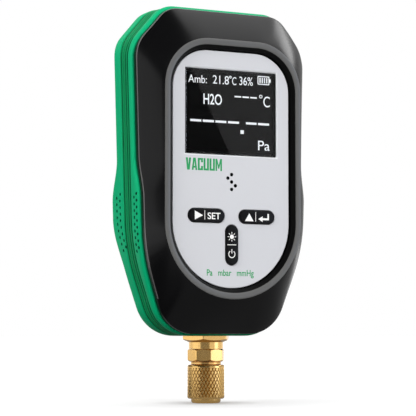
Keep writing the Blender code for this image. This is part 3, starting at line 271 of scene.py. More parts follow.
def rod(form, radius, x, z, front, back, segments=48):
    """Add a round bar along Y to a bmesh."""
    stand = Matrix.Translation((x, (front + back) / 2, z)) @ Matrix.Rotation(math.pi / 2, 4, "X")
    bmesh.ops.create_cone(form, cap_ends=True, segments=segments, radius1=radius, radius2=radius,
                          depth=back - front, matrix=stand)


def block(form, low, high):
    """Add a block between two corners to a bmesh."""
    low, high = Vector(low), Vector(high)
    size = Matrix.Diagonal((*(high - low), 1.0))
    bmesh.ops.create_cube(form, size=1.0, matrix=Matrix.Translation((low + high) / 2) @ size)


def thicken(form, faces, distance):
    """Draw flat faces out along Y into solids."""
    drawn = bmesh.ops.extrude_face_region(form, geom=faces, use_keep_orig=True)["geom"]
    moved = [part for part in drawn if isinstance(part, bmesh.types.BMVert)]
    bmesh.ops.translate(form, vec=(0.0, distance, 0.0), verts=moved)
    bmesh.ops.recalc_face_normals(form, faces=form.faces)


def slab(form, outline, front, back):
    """Add a flat sheet of any outline to a bmesh, standing between two depths."""
    corners = [form.verts.new((x, front, z)) for x, z in outline]
    thicken(form, [form.faces.new(corners)], back - front)


def pill(length, width, x, z, upright=False, step=math.radians(6.0)):
    """A slot shape with round ends, lying along X or standing."""
    reach, radius = (length - width) / 2, width / 2
    quarter = math.pi / 2
    points = arc((reach, 0.0), radius, -quarter, quarter, step)
    points += arc((-reach, 0.0), radius, quarter, 3 * quarter, step)
    if upright:
        points = [Vector((-v, u)) for u, v in points]
    return [Vector((x + u, z + v)) for u, v in points]


def rectangle(half, bottom, top, radius=0.0):
    """A rectangle centred on X = 0, with round corners where a radius is given."""
    if not radius:
        corners = [(half, bottom), (half, top), (-half, top), (-half, bottom)]
        return [Vector(corner) for corner in corners]
    inner, low, high = half - radius, bottom + radius, top - radius
    quarter = math.pi / 2
    return (
        arc((inner, low), radius, -quarter, 0.0)
        + arc((inner, high), radius, 0.0, quarter)
        + arc((-inner, high), radius, quarter, 2 * quarter)
        + arc((-inner, low), radius, 2 * quarter, 3 * quarter)
    )


def port_hole():
    """A tool for the round hole in the housing's foot."""
    form = bmesh.new()
    bmesh.ops.create_cone(form, cap_ends=True, segments=64, radius1=PORT_HOLE_RADIUS,
                          radius2=PORT_HOLE_RADIUS, depth=0.0120,
                          matrix=Matrix.Translation((0.0, 0.0, BODY_BOTTOM + 0.0011)))
    return piece("port_hole", form)


def linear(code):
    """A colour given as an sRGB hex value, as the shaders want it."""
    parts = [int(code[i:i + 2], 16) / 255 for i in (0, 2, 4)]
    return (*[p / 12.92 if p <= 0.04045 else ((p + 0.055) / 1.055) ** 2.4 for p in parts], 1.0)


def new_material(name, **values):
    """A material with its shader's own sockets set, and its node tree."""
    material = bpy.data.materials.new(name)
    material.use_nodes = True
    shader = material.node_tree.nodes["Principled BSDF"]
    for socket, value in values.items():
        shader.inputs[socket.replace("_", " ")].default_value = value
    return material, material.node_tree, shader


def add(tree, kind, inputs=None, **settings):
    """Add a node with its settings, and set or link its inputs."""
    made = tree.nodes.new("ShaderNode" + kind)
    for name, value in settings.items():
        setattr(made, name, value)
    for socket, value in (inputs or {}).items():
        if isinstance(value, bpy.types.NodeSocket):
            tree.links.new(value, made.inputs[socket])
        else:
            made.inputs[socket].default_value = value
    return made


def varied(name, colour, scale, detail=2.0, gloss=None, tones=None, onto="Base Color", **values):
    """A material whose roughness or tone wanders between two values with one noise."""
    material, tree, shader = new_material(name, Base_Color=linear(colour), **values)
    place = add(tree, "TexCoord").outputs["Object"]
    noise = add(tree, "TexNoise", {"Vector": place, "Scale": scale, "Detail": detail}).outputs["Fac"]
    if tones:
        low, high = tones
        tint = add(tree, "MixRGB", {"Fac": noise, "Color1": linear(low), "Color2": linear(high)})
        tree.links.new(tint.outputs["Color"], shader.inputs[onto])
    if gloss:
        low, high = gloss
        rough = add(tree, "MapRange", {"Value": noise, "To Min": low, "To Max": high})
        tree.links.new(rough.outputs["Result"], shader.inputs["Roughness"])
    return material


def moulded_grain(material, scale, strength, depth):
    """Give a material the relief of the fine grain of its tool."""
    tree = material.node_tree
    place = add(tree, "TexCoord").outputs["Object"]
    noise = add(tree, "TexNoise", {"Vector": place, "Scale": scale, "Detail": 2.0}).outputs["Fac"]
    relief = add(tree, "Bump", {"Height": noise, "Strength": strength, "Distance": depth})
    tree.links.new(relief.outputs["Normal"], tree.nodes["Principled BSDF"].inputs["Normal"])


# Moulded ABS from a polished tool: a deep black that shows soft reflections, with a fine grain of
# 0.17 mm that only breaks them up a little.
shell_black = varied("moulded_black_abs", "0a0a0b", 60.0, gloss=(0.22, 0.28), IOR=1.50,
                     Specular_IOR_Level=0.20)
moulded_grain(shell_black, 6000.0, 0.2, 0.00001)

# The crest and the lip's edge take a satin graphite grey over the black, with a flake of 0.2 mm. The
# grey is painted light: a painted reflection of the front light on the flat crest, and a painted
# highlight along the lip's rounded edge.
painted_sheen_grey = varied("painted_sheen_satin_graphite", "545453", 5000.0, gloss=(0.28, 0.38),
                    tones=("4e4e4d", "595958"), IOR=1.50, Specular_IOR_Level=0.50)

# Inside the crest the shell is left matt, as black as the recess behind it.
channel_black = varied("matt_black_recess", "070707", 3000.0, gloss=(0.40, 0.55), IOR=1.50,
                       Specular_IOR_Level=0.08)

lip_back = rim(grown(0.0), deeper(front_lip, FRONT_LIP_LENGTH))
lip_edge = rim(grown(0.0), front_lip)
crest_edge = rim(panel_outline(CHANNEL_WIDTH + CREST_WIDTH), CREST_Y)
form, loops = skin([
    rim(grown(-BAND_SEAT), PARTING - SEAM),
    rim(grown(-BAND_SEAT), deeper(front_lip, FRONT_LIP_LENGTH)),
    lip_back,
    lip_edge,
    *slope(lip_edge, crest_edge, -SLOPE_CROWN),
    crest_edge,
    rim(panel_outline(CHANNEL_WIDTH + CREST_LINE), CREST_Y),
    rim(panel_outline(CHANNEL_WIDTH), CREST_Y + CREST_FALL),
    rim(panel_outline(CHANNEL_WIDTH - FACET), CREST_Y + FACET),
    rim(panel_outline(CHANNEL_WIDTH - FACET), RECESS_Y),
])
# Slot 1 holds the painted reflection on the crest and the painted highlight on the rounded edges.
paint(form, loops[-5:-2], 1)
paint(form, loops[-3:], 2)
soften(form, loops[-5], 0.0003, 3, 1)
soften(form, loops[-3], 0.0002, 3, 1)
soften(form, loops[-2], 0.0002, 2)
soften(form, loops[3], 0.00035, 4, 1)
soften(form, loops[2], 0.0002, 2)

# The painted highlight on the lip's edge ends near the foot, whose edge stays black as painted shade
# where less light falls, and the crest keeps its painted reflection all round.
for face in form.faces:
    spot = face.calc_center_median()
    if face.material_index == 1 and spot.y > CREST_Y + 0.003 and spot.z < PAINTED_HIGHLIGHT_END:
        face.material_index = 0
front_cover = piece("front_shell", form, shell_black, painted_sheen_grey, channel_black)

BOARD_SCREWS = [(-0.0140, 0.1416), (0.0140, 0.1416), (-0.0200, 0.0580), (0.0200, 0.0580)]
CASE_SCREWS = [(-0.02765, 0.1454), (0.02765, 0.1454), (-0.02034, 0.0420), (0.02034, 0.0420)]
BOARD_BOSS = 0.0025
BOARD_PILOT = 0.0014
CASE_BOSS = 0.0042
CASE_HOLE = 0.00165
CASE_PILOT_Y = -0.0140
form, loops = skin([
    rim(grown(-SKIRT_INSET), PARTING + BAND_SEAT),
    rim(grown(-SKIRT_INSET), deeper(front_lip, SLOPE_WALL)),
    rim(panel_outline(CHANNEL_WIDTH + CREST_WIDTH - SLOPE_WALL / 3), FLOOR_Y),
])
cavity = piece("cavity", form)
form = bmesh.new()
for x, z in BOARD_SCREWS:
    rod(form, BOARD_BOSS, x, z, CREST_Y, BOARD_FRONT_Y - CLEAR)
for x, z in CASE_SCREWS:
    rod(form, CASE_BOSS, x, z, CREST_Y, PARTING - CLEAR / 2)
carve(cavity, piece("bosses", form))
carve(front_cover, cavity)
carve(front_cover, port_hole())

KEYS = {
    "right_set": (-0.0114, 0.0757, False),
    "up_enter": (0.0114, 0.0757, False),
    "power": (0.0, 0.0641, True),
}
KEY_LENGTH = 0.0160
KEY_WIDTH = 0.0053
VENTS = [(0.0, 0.0926), (-0.0017, 0.0911), (0.0, 0.0896), (0.0017, 0.0881), (0.0, 0.0866)]
VENT_RADIUS = 0.00074
GLASS_HALF = 0.0194
GLASS_BOTTOM = 0.1017
GLASS_TOP = 0.1338


def key_hole(x, z, upright):
    """The outline of the hole that a key slides in."""
    return pill(KEY_LENGTH + 2 * CLEAR, KEY_WIDTH + 2 * CLEAR, x, z, upright)


form = bmesh.new()
slab(form, rectangle(GLASS_HALF + CLEAR, GLASS_BOTTOM - CLEAR, GLASS_TOP + CLEAR), CREST_Y,
     BOARD_FRONT_Y)
for x, z, upright in KEYS.values():
    slab(form, key_hole(x, z, upright), CREST_Y, BOARD_FRONT_Y)
for x, z in VENTS:
    rod(form, VENT_RADIUS + 0.00004, x, z, CREST_Y, BOARD_FRONT_Y, 24)
for x, z in BOARD_SCREWS:
    rod(form, BOARD_PILOT, x, z, FLOOR_Y + CLEAR, PARTING, 24)
for x, z in CASE_SCREWS:
    rod(form, CASE_HOLE, x, z, CASE_PILOT_Y, PARTING + CLEAR, 24)
carve(front_cover, piece("openings", form))
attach(front_cover, "case")
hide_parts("front_cover")


# Grip bands: green thermoplastic elastomer moulded over the skirts of both shells. Each has a
# rounded strip with two rows of dimples beside the palm, then a ribbed belt along the parting.
PROUD_SIDE = 0.0012
PROUD_TOP = 0.0017
PROUD_BOTTOM = 0.0008
ROUNDING = 0.0022
STRIP_STEPS = 8
PITCH = 0.0020
RIB_LEVEL = 0.00025
GROOVE = [(-0.00042, 0.0), (-0.00030, 0.00006), (-0.00014, 0.00036), (0.0, 0.0005),
          (0.00014, 0.00036), (0.00030, 0.00006), (0.00042, 0.0)]
LIFT_TOP = 0.00075
LIFT_SHOULDER = 0.00045
DIMPLE = 0.00068
DIMPLE_PITCH = 0.0027
DIMPLE_COUNT = 9

# The rear lip's depth at the foot, the palm and the waist, the height above the foot where it
# starts to swell, and its drop around the brow.
REAR_FOOT_LIP = 0.0070
REAR_PALM_LIP = 0.0121
REAR_WAIST_LIP = 0.0067
REAR_FOOT_HIGH = 0.0260
REAR_BROW_LOW = 0.1380
REAR_BROW_HIGH = 0.1500
REAR_BROW_DROP = 0.0032

# Soft elastomer: a clear deep green, matt from its fine eroded grain of 0.2 mm.
grip_green = varied("moulded_green_elastomer", "00a26c", 90.0, 3.0, tones=("009e68", "00a670"),
                    IOR=1.45, Specular_IOR_Level=0.12, Roughness=0.55)
moulded_grain(grip_green, 5000.0, 0.3, 0.00002)

# The belt is the same elastomer in a deeper green: partly painted shade, for the shade of its grooves
# spread over the narrow ribs, and partly its ribs drawn along the tool.
belt_green, tree, shader = new_material(
    "ribbed_green_elastomer", Base_Color=linear("00804c"), IOR=1.45, Specular_IOR_Level=0.10,
    Roughness=0.60
)
moulded_grain(belt_green, 5000.0, 0.3, 0.00002)

# Grooves and dimples are painted a dark green: painted shade, for the shade that falls in them, so they
# read dark.
painted_shade_green = varied("painted_shade_green_elastomer", "013c24", 900.0, gloss=(0.6, 0.8), IOR=1.45,
                      Specular_IOR_Level=0.10)


def rear_lip(height):
    """Depth of the rear lip's front edge, which swells at the palm and drops back at the brow."""
    above = height - BODY_BOTTOM
    foot = ease(above, REAR_FOOT_HIGH, PALM_LOW, REAR_FOOT_LIP, REAR_PALM_LIP)
    waist = ease(above, PALM_HIGH, WAIST_LOW, REAR_PALM_LIP, REAR_WAIST_LIP)
    return min(foot, waist) + rear_brow(height)


def rear_brow(height):
    """How far the rear lip drops back around the top, where the housing is deepest."""
    return ease(height, REAR_BROW_LOW, REAR_BROW_HIGH, 0.0, REAR_BROW_DROP)


def rear_line(distance):
    """A line around the rear band, which drops back at the brow by its share of the way."""
    share = distance / (2 * PITCH)
    return lambda height: PARTING + distance + rear_brow(height) * share


def swell(share, sink=0.0, lift=0.0):
    """The band's outline from the lip to its crown, less a depth, plus a lift around the top."""
    side = PROUD_SIDE * share - sink
    return body_outline(side, PROUD_TOP * share - sink + LIFT_TOP * lift, PROUD_BOTTOM * share - sink,
                        side + LIFT_SHOULDER * lift)


def strip(edge, way, lift=0.0):
    """Rings of the rounded strip, from the lip's own outline up to the band's crown."""
    rings = []
    for i in range(STRIP_STEPS + 1):
        turn = math.pi / 2 * i / STRIP_STEPS
        depth = deeper(edge, way * ROUNDING * (1 - math.cos(turn)))
        rings.append(rim(swell(math.sin(turn), 0.0, lift * math.sin(turn)), depth))
    return rings


def groove(centre, lift):
    """Rings of a narrow groove around the belt, with its shoulders eased."""
    return [rim(swell(1.0, RIB_LEVEL + sink, lift), deeper(centre, along)) for along, sink in GROOVE]


def parting_edge(depth, way):
    """Rings of the belt's rounded edge, from the parting inwards."""
    steps = [(0.0, 0.0005), (0.00020, 0.00012), (0.00042, 0.0)]
    return [rim(swell(1.0, RIB_LEVEL + sink, 0.65), depth + way * along) for along, sink in steps]


def belt_edge(centre, way, lift=0.0):
    """Rings of the step from the belt up to the strip's level."""
    steps = [(0.0, RIB_LEVEL), (0.00020, 0.00005), (0.00045, 0.0)]
    return [rim(swell(1.0, sink, lift), deeper(centre, way * along)) for along, sink in steps]


def reach_at(outline, z):
    """How far out an outline stands at one height."""
    for low, high in zip(outline, outline[1:]):
        if low.y >= z >= high.y and low.y > high.y:
            reach = low.x + (high.x - low.x) * (low.y - z) / (low.y - high.y)
    return reach


def dimples(edge, rows, top):
    """A tool for two staggered rows of dimples along a strip's palm, on both sides at once."""
    form = bmesh.new()
    for row, along in enumerate(rows):
        for i in range(DIMPLE_COUNT):
            z = top - DIMPLE_PITCH * (i + 0.5 * row)
            out = reach_at(swell(1.0), z) + DIMPLE * 0.25
            for side in (-1, 1):
                spot = Matrix.Translation((side * out, edge(z) + along, z))
                bmesh.ops.create_uvsphere(form, u_segments=16, v_segments=10, radius=DIMPLE,
                                          matrix=spot)
    # The tool carries the painted shade, which the cut passes to the dimples' hollows.
    return piece("dimples", form, painted_shade_green)


seat = grown(-BAND_SEAT + CLEAR)
front_edge = deeper(front_lip, FRONT_LIP_LENGTH + CLEAR)
belt = PARTING - 2 * PITCH
end = PARTING - SEAM
form, loops = skin([
    rim(seat, front_edge),
    *strip(front_edge, 1),
    *reversed(belt_edge(belt - PITCH / 2, -1)),
    *groove(belt, 0.17),
    *groove(belt + PITCH, 0.45),
    *reversed(parting_edge(end, -1)),
    rim(seat, end),
], closed=True)
# The belt takes its deeper green, and its grooves the painted shade.
paint(form, loops[12:30], 1)
paint(form, loops[14:19], 2)
paint(form, loops[21:26], 2)
front_band = piece("front_band", form, grip_green, belt_green, painted_shade_green)
carve(front_band, port_hole())
carve(front_band, dimples(front_edge, (0.0014, 0.0036), 0.0843))

back_edge = deeper(rear_lip, -CLEAR)
start = PARTING + SEAM
form, loops = skin([
    rim(seat, start),
    *parting_edge(start, 1),
    *groove(rear_line(PITCH), 0.85),
    *belt_edge(rear_line(1.5 * PITCH), 1, 1.0),
    *reversed(strip(back_edge, -1, 1.0)),
    rim(seat, back_edge),
], closed=True)
# The belt takes its deeper green, and its grooves the painted shade.
paint(form, loops[1:12], 1)
paint(form, loops[5:10], 2)
rear_band = piece("rear_band", form, grip_green, belt_green, painted_shade_green)
carve(rear_band, port_hole())
carve(rear_band, dimples(back_edge, (-0.0090, -0.0058), 0.0851))
for band, node in ((front_band, "front_grip_band"), (rear_band, "rear_grip_band")):
    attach(band, "case")
    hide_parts(node)


# Rear cover: the other half of the shell, of the same black ABS, moulded in one piece. Its flat
# back holds the battery bay and the door's seat, and four wells for the screws that close it.
BACK_Y = 0.0170
BACK_INSET = 0.0095
BACK_EDGE = 0.0008
BACK_FLOOR_Y = 0.0148
BAY_HALF = 0.01665
BAY_BOTTOM = 0.0674
BAY_TOP = 0.1213
BAY_FLOOR_Y = 0.0036
BAY_WALL = 0.0015
DOOR_HALF = 0.01885
DOOR_BOTTOM = 0.0584
DOOR_TOP = 0.1235
DOOR_FRONT_Y = 0.0150
DOOR_CORNER = 0.0030
DOOR_SCREW_Z = 0.0617
DOOR_BOSS = 0.0025
DOOR_HOLE = 0.0014
SEAT_DEPTH = 0.0021
TONGUE_HALF = 0.0030
TONGUE_ROOT = 0.0030
TONGUE_THICKNESS = 0.0010
TONGUE_REACH = 0.0012
REAR_LIP_LENGTH = 0.0023
HEAD_WELL = 0.0029
WELL_FLOOR = 0.0020
OUTSIDE_Y = BACK_Y + BAY_WALL


def well_floor(z):
    """Depth of the floor of a screw's well, which the screw's head sits on."""
    return rear_lip(z) - rear_brow(z) + REAR_LIP_LENGTH + WELL_FLOOR


def tongues(form, gap):
    """Add the door's two tongues, grown by a gap for the slots that take them."""
    for side in (-1, 1):
        middle = side * DOOR_HALF / 2
        half = TONGUE_HALF + gap
        block(form, (middle - half, DOOR_FRONT_Y - gap, DOOR_TOP - TONGUE_ROOT),
              (middle + half, DOOR_FRONT_Y + TONGUE_THICKNESS + gap, DOOR_TOP + TONGUE_REACH + gap))


lip_front = rim(grown(0.0), rear_lip)
lip_edge = rim(grown(-0.0010), deeper(rear_lip, REAR_LIP_LENGTH))
flat_edge = rim(grown(-BACK_INSET), BACK_Y - BACK_EDGE)
form, loops = skin([
    rim(grown(-BAND_SEAT), PARTING + SEAM),
    rim(grown(-BAND_SEAT), rear_lip),
    lip_front,
    lip_edge,
    *slope(lip_edge, flat_edge, SLOPE_CROWN),
    flat_edge,
    rim(grown(-BACK_INSET - BACK_EDGE), BACK_Y),
])
soften(form, loops[-2] + loops[-1], 0.0005)
soften(form, loops[3], 0.0004)
soften(form, loops[2], 0.0002, 2)
rear_cover = piece("rear_shell", form, shell_black)

form, loops = skin([
    rim(grown(-SKIRT_INSET), PARTING - BAND_SEAT),
    rim(grown(-SKIRT_INSET), rear_lip),
    rim(grown(-BACK_INSET - SLOPE_WALL / 2), BACK_FLOOR_Y),
])
cavity = piece("cavity", form)
form = bmesh.new()
block(form, (-BAY_HALF - BAY_WALL, BAY_FLOOR_Y - BAY_WALL, BAY_BOTTOM - BAY_WALL),
      (BAY_HALF + BAY_WALL, OUTSIDE_Y, BAY_TOP + BAY_WALL))
carve(cavity, piece("bay_walls", form))
form = bmesh.new()
block(form, (-DOOR_HALF - BAY_WALL, DOOR_FRONT_Y - SEAT_DEPTH, DOOR_BOTTOM - BAY_WALL),
      (DOOR_HALF + BAY_WALL, OUTSIDE_Y, DOOR_TOP + TONGUE_REACH + CLEAR + BAY_WALL))
carve(cavity, piece("seat_walls", form))
form = bmesh.new()
rod(form, DOOR_BOSS, 0.0, DOOR_SCREW_Z, BAY_FLOOR_Y, OUTSIDE_Y)
for x, z in CASE_SCREWS:
    rod(form, CASE_BOSS, x, z, PARTING + CLEAR / 2, OUTSIDE_Y)
carve(cavity, piece("bosses", form))
carve(rear_cover, cavity)
carve(rear_cover, port_hole())
form = bmesh.new()
block(form, (-BAY_HALF, BAY_FLOOR_Y, BAY_BOTTOM), (BAY_HALF, OUTSIDE_Y, BAY_TOP))
carve(rear_cover, piece("bay", form))
form = bmesh.new()
slab(form, rectangle(DOOR_HALF + CLEAR, DOOR_BOTTOM - CLEAR, DOOR_TOP + CLEAR, DOOR_CORNER + CLEAR),
     DOOR_FRONT_Y - CLEAR, OUTSIDE_Y)
carve(rear_cover, piece("door_recess", form))
form = bmesh.new()
rod(form, DOOR_HOLE, 0.0, DOOR_SCREW_Z, BAY_FLOOR_Y + BAY_WALL, OUTSIDE_Y, 24)
tongues(form, CLEAR)
carve(rear_cover, piece("door_fixings", form))
form = bmesh.new()
for x, z in CASE_SCREWS:
    rod(form, HEAD_WELL, x, z, well_floor(z), OUTSIDE_Y)
carve(rear_cover, piece("wells", form))
form = bmesh.new()
for x, z in CASE_SCREWS:
    rod(form, CASE_HOLE, x, z, PARTING - CLEAR, OUTSIDE_Y, 24)
carve(rear_cover, piece("screw_ways", form))
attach(rear_cover, "case")
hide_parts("rear_cover")


# Face panel: a thin ABS plate sprayed metallic silver, with a painted highlight on the edge around the
# display and eased holes for the keys. It is bonded into the shell's recess, inside a black channel.
PANEL_FRONT_Y = -0.0233
PANEL_BACK_Y = -0.0223
WINDOW_HALF = 0.0207
WINDOW_BOTTOM = 0.1004
WINDOW_TOP = 0.1351
WINDOW_CHAMFER = 0.00045
PANEL_EDGE = 0.00015

# Silver lacquer: a pale cool grey with a fine flake of 0.3 mm, satin from its clear coat.
panel_silver = varied("silver_lacquer", "cacbcf", 3000.0, gloss=(0.46, 0.54),
                      tones=("c6c7cb", "cecfd3"), Metallic=0.05, IOR=1.45, Specular_IOR_Level=0.25)

# The edge of the display's opening is painted near-white, a painted highlight that makes it a bright
# line.
painted_highlight_edge = varied("painted_highlight_silver_edge", "f0f1f4", 1500.0, gloss=(0.15, 0.25), Metallic=0.10, IOR=1.49)


def draw_loop(form, points, depth):
    """Draw a closed line of edges in a bmesh, standing at one depth."""
    corners = [form.verts.new((x, depth, z)) for x, z in points]
    return [form.edges.new(pair) for pair in zip(corners, corners[1:] + corners[:1])]


form = bmesh.new()
half = panel_outline(0.0)
full = half + [Vector((-point.x, point.y)) for point in reversed(half[1:-1])]
rims = draw_loop(form, full, PANEL_FRONT_Y)
window_rim = draw_loop(form, rectangle(WINDOW_HALF, WINDOW_BOTTOM, WINDOW_TOP), PANEL_FRONT_Y)
for x, z, upright in KEYS.values():
    rims += draw_loop(form, key_hole(x, z, upright), PANEL_FRONT_Y)
for vent in VENTS:
    draw_loop(form, arc(vent, VENT_RADIUS, 0.0, math.tau, math.tau / 24)[:-1], PANEL_FRONT_Y)
bmesh.ops.triangle_fill(form, edges=form.edges[:], use_beauty=True, use_dissolve=False)
thicken(form, form.faces[:], PANEL_BACK_Y - PANEL_FRONT_Y)

# The walls of the window's opening carry the painted highlight, and those of the small holes are black.
for face in form.faces:
    spot = face.calc_center_median()
    across = abs(spot.x) - WINDOW_HALF
    along = abs(spot.z - (WINDOW_BOTTOM + WINDOW_TOP) / 2) - (WINDOW_TOP - WINDOW_BOTTOM) / 2
    if max(across, along) < 0.0001 and abs(face.normal.y) < 0.5:
        face.material_index = 1
    if min(math.dist((spot.x, spot.z), vent) for vent in VENTS) < VENT_RADIUS + 0.00002:
        face.material_index = 2
# The window's chamfer carries the painted highlight too.
bmesh.ops.bevel(form, geom=window_rim, offset=WINDOW_CHAMFER, offset_type="OFFSET", segments=1,
                profile=0.5, affect="EDGES", material=1)
soften(form, rims, PANEL_EDGE, 1)
face_panel = piece("silver_panel", form, panel_silver, painted_highlight_edge, shell_black)
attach(face_panel, "case")
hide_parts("face_panel")


# Display window: a clear cast acrylic pane, sawn to size with its front edge eased. It lies flush
# in the panel's opening, over the glass of the display.
PANE_CORNER = 0.0003
PANE_EDGE = 0.0001

# Acrylic: clear, hard and polished, so it mirrors the room faintly over the display.
window_clear = varied("clear_acrylic", "fbfbfc", 40.0, tones=("f6f7f8", "ffffff"), IOR=1.30,
                      Transmission_Weight=1.0, Roughness=0.0, Specular_IOR_Level=0.5)


def edges_at(form, depth):
    """The edges of a bmesh that lie at one depth."""
    return [edge for edge in form.edges if all(abs(v.co.y - depth) < 1e-6 for v in edge.verts)]


form = bmesh.new()
slab(form, rectangle(WINDOW_HALF - CLEAR, WINDOW_BOTTOM + CLEAR, WINDOW_TOP - CLEAR, PANE_CORNER),
     PANEL_FRONT_Y, PANEL_BACK_Y)
soften(form, edges_at(form, PANEL_FRONT_Y), PANE_EDGE, 1)
window = piece("window_pane", form, window_clear)
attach(window, "case")
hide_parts("display_window")


# Liquid crystal display: a glass cell with a dark polariser, lit from behind so that its
# segments show white. It lies against the shell's ledge behind the window.
GLASS_Y = -0.0220
GLASS_BACK_Y = -0.0184
GLASS_CORNER = 0.0003
SEGMENT_THICKNESS = 0.00005

# Polariser film: almost black and smooth, with a faint cloud of light from the lamp behind it.
display_dark = varied("dark_polariser", "060606", 30.0, 1.0, tones=("020202", "0a0a0a"),
                      onto="Emission Color", Emission_Strength=1.0, Roughness=0.30, IOR=1.50,
                      Specular_IOR_Level=0.05)

# Lit segments: the lamp's cool white through the clear cells, a little uneven along a stroke.
segment_white = varied("lit_segments", "808488", 400.0, 1.0, tones=("dde3e8", "ffffff"),
                       onto="Emission Color", Emission_Strength=0.95, Roughness=0.4)

form = bmesh.new()
slab(form, rectangle(GLASS_HALF, GLASS_BOTTOM, GLASS_TOP, GLASS_CORNER), GLASS_Y, GLASS_BACK_Y)
glass = piece("display_glass", form, display_dark)
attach(glass, "case")
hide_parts("lcd_panel")


def lettering(words, height, left, base, width=None, weight=0.0):
    """Flat lettering as a bmesh in the plane of the face, its strokes as wide as asked."""
    curve = bpy.data.curves.new("lettering", "FONT")
    curve.body = words
    curve.offset = weight
    flat = bpy.data.objects.new("lettering", curve)
    bpy.context.scene.collection.objects.link(flat)
    bpy.context.view_layer.update()
    shown = flat.evaluated_get(bpy.context.evaluated_depsgraph_get())
    source = bpy.data.meshes.new_from_object(shown)
    form = bmesh.new()
    form.from_mesh(source)
    bpy.data.objects.remove(flat)
    bpy.data.meshes.remove(source)
    bmesh.ops.remove_doubles(form, verts=form.verts, dist=0.0001)
    across = [corner.co.x for corner in form.verts]
    # The font's capitals stand 0.729 of its size.
    scale = height / 0.729
    stretch = scale if width is None else width / (max(across) - min(across))
    bmesh.ops.translate(form, vec=(-min(across), 0.0, 0.0), verts=form.verts)
    bmesh.ops.scale(form, vec=(stretch, scale, 1.0), verts=form.verts)
    stand = Matrix.Translation((left, 0.0, base)) @ Matrix.Rotation(math.pi / 2, 4, "X")
    bmesh.ops.transform(form, matrix=stand, verts=form.verts)
    return form


def gather(forms):
    """Join several bmeshes into one."""
    whole = bmesh.new()
    for form in forms:
        mesh = bpy.data.meshes.new("gather")
        form.to_mesh(mesh)
        form.free()
        whole.from_mesh(mesh)
        bpy.data.meshes.remove(mesh)
    return whole


def raise_print(form, depth, thickness):
    """Give flat print its thickness towards the eye, with its back at one depth."""
    bmesh.ops.translate(form, vec=(0.0, depth, 0.0), verts=form.verts)
    thicken(form, form.faces[:], -thickness)
    return form


def flat_shape(points):
    """A flat face in the plane of the face panel, from its outline."""
    form = bmesh.new()
    form.faces.new([form.verts.new((x, 0.0, z)) for x, z in points])
    return form


def bar(left, right, bottom, top):
    """A flat rectangle in the plane of the face panel."""
    return flat_shape([(left, bottom), (right, bottom), (right, top), (left, top)])


def stroke(start, end, width):
    """A flat straight stroke between two points in the plane of the face panel."""
    start, end = Vector(start), Vector(end)
    along = (end - start).normalized()
    side = Vector((-along.y, along.x)) * width / 2
    return flat_shape([start - side, end - side, end + side, start + side])


def open_ring(centre, radius, width, start, end):
    """A flat stroke along part of a circle."""
    outer = arc(centre, radius + width / 2, start, end, math.radians(8.0))
    inner = arc(centre, radius - width / 2, end, start, math.radians(8.0))
    return flat_shape(outer + inner)


# The readings stand where the display's own segments are. The dashes are given in millimetres.
dashes = [(-18.1, -13.2), (-12.5, -7.5), (-6.8, -1.9), (-1.1, 3.9), (7.1, 12.0), (12.7, 17.8)]
small_dashes = [(1.9, 4.9), (5.5, 8.5), (9.1, 12.1)]
battery = [bar(0.0125, 0.0129, 0.1305, 0.1335), bar(0.0176, 0.0180, 0.1305, 0.1335),
           bar(0.0127, 0.0178, 0.1302, 0.1306), bar(0.0127, 0.0178, 0.1334, 0.1338),
           bar(0.0180, 0.0186, 0.1313, 0.1327)]
battery += [bar(0.0134 + 0.00105 * i, 0.0139 + 0.00105 * i, 0.1309, 0.1331) for i in range(4)]
readings = gather(
    [
        lettering("Amb:", 0.0033, -0.0190, 0.1292, 0.0083),
        lettering("21.8", 0.0036, -0.0080, 0.1293, 0.0073),
        open_ring((0.0000, 0.1324), 0.0004, 0.0003, 0.0, 6.2),
        lettering("C", 0.0034, 0.0008, 0.1293, 0.0019),
        lettering("36%", 0.0036, 0.0041, 0.1295, 0.0062),
        lettering("H2O", 0.0044, -0.0122, 0.1208, 0.0083, weight=0.010),
        open_ring((0.0140, 0.1253), 0.0006, 0.0003, 0.0, 6.2),
        lettering("C", 0.0046, 0.0152, 0.1211, 0.0030),
        lettering("Pa", 0.0042, 0.0127, 0.1032, 0.0054),
        bar(0.0046, 0.0061, 0.1095, 0.1110),
    ]
    + battery
    + [bar(low / 1000, high / 1000, 0.1135, 0.1144) for low, high in dashes]
    + [bar(low / 1000, high / 1000, 0.1243, 0.1249) for low, high in small_dashes]
)
raise_print(readings, GLASS_Y, SEGMENT_THICKNESS)
readings = piece("display_readings", readings, segment_white)
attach(readings, "case")


# Print on the face: a plain word and the units that the gauge reads, screen printed in green on
# the panel's lacquer.
INK_THICKNESS = 0.00003
WORD_BASE = 93.8
WORD_LEFT = -20.6
LETTER_GAP = 0.28

# Ink: a flat satin green film, with the 0.25 mm mark of the screen's mesh.
ink_green = varied("green_ink", "009450", 4000.0, 1.0, gloss=(0.4, 0.5), IOR=1.45)

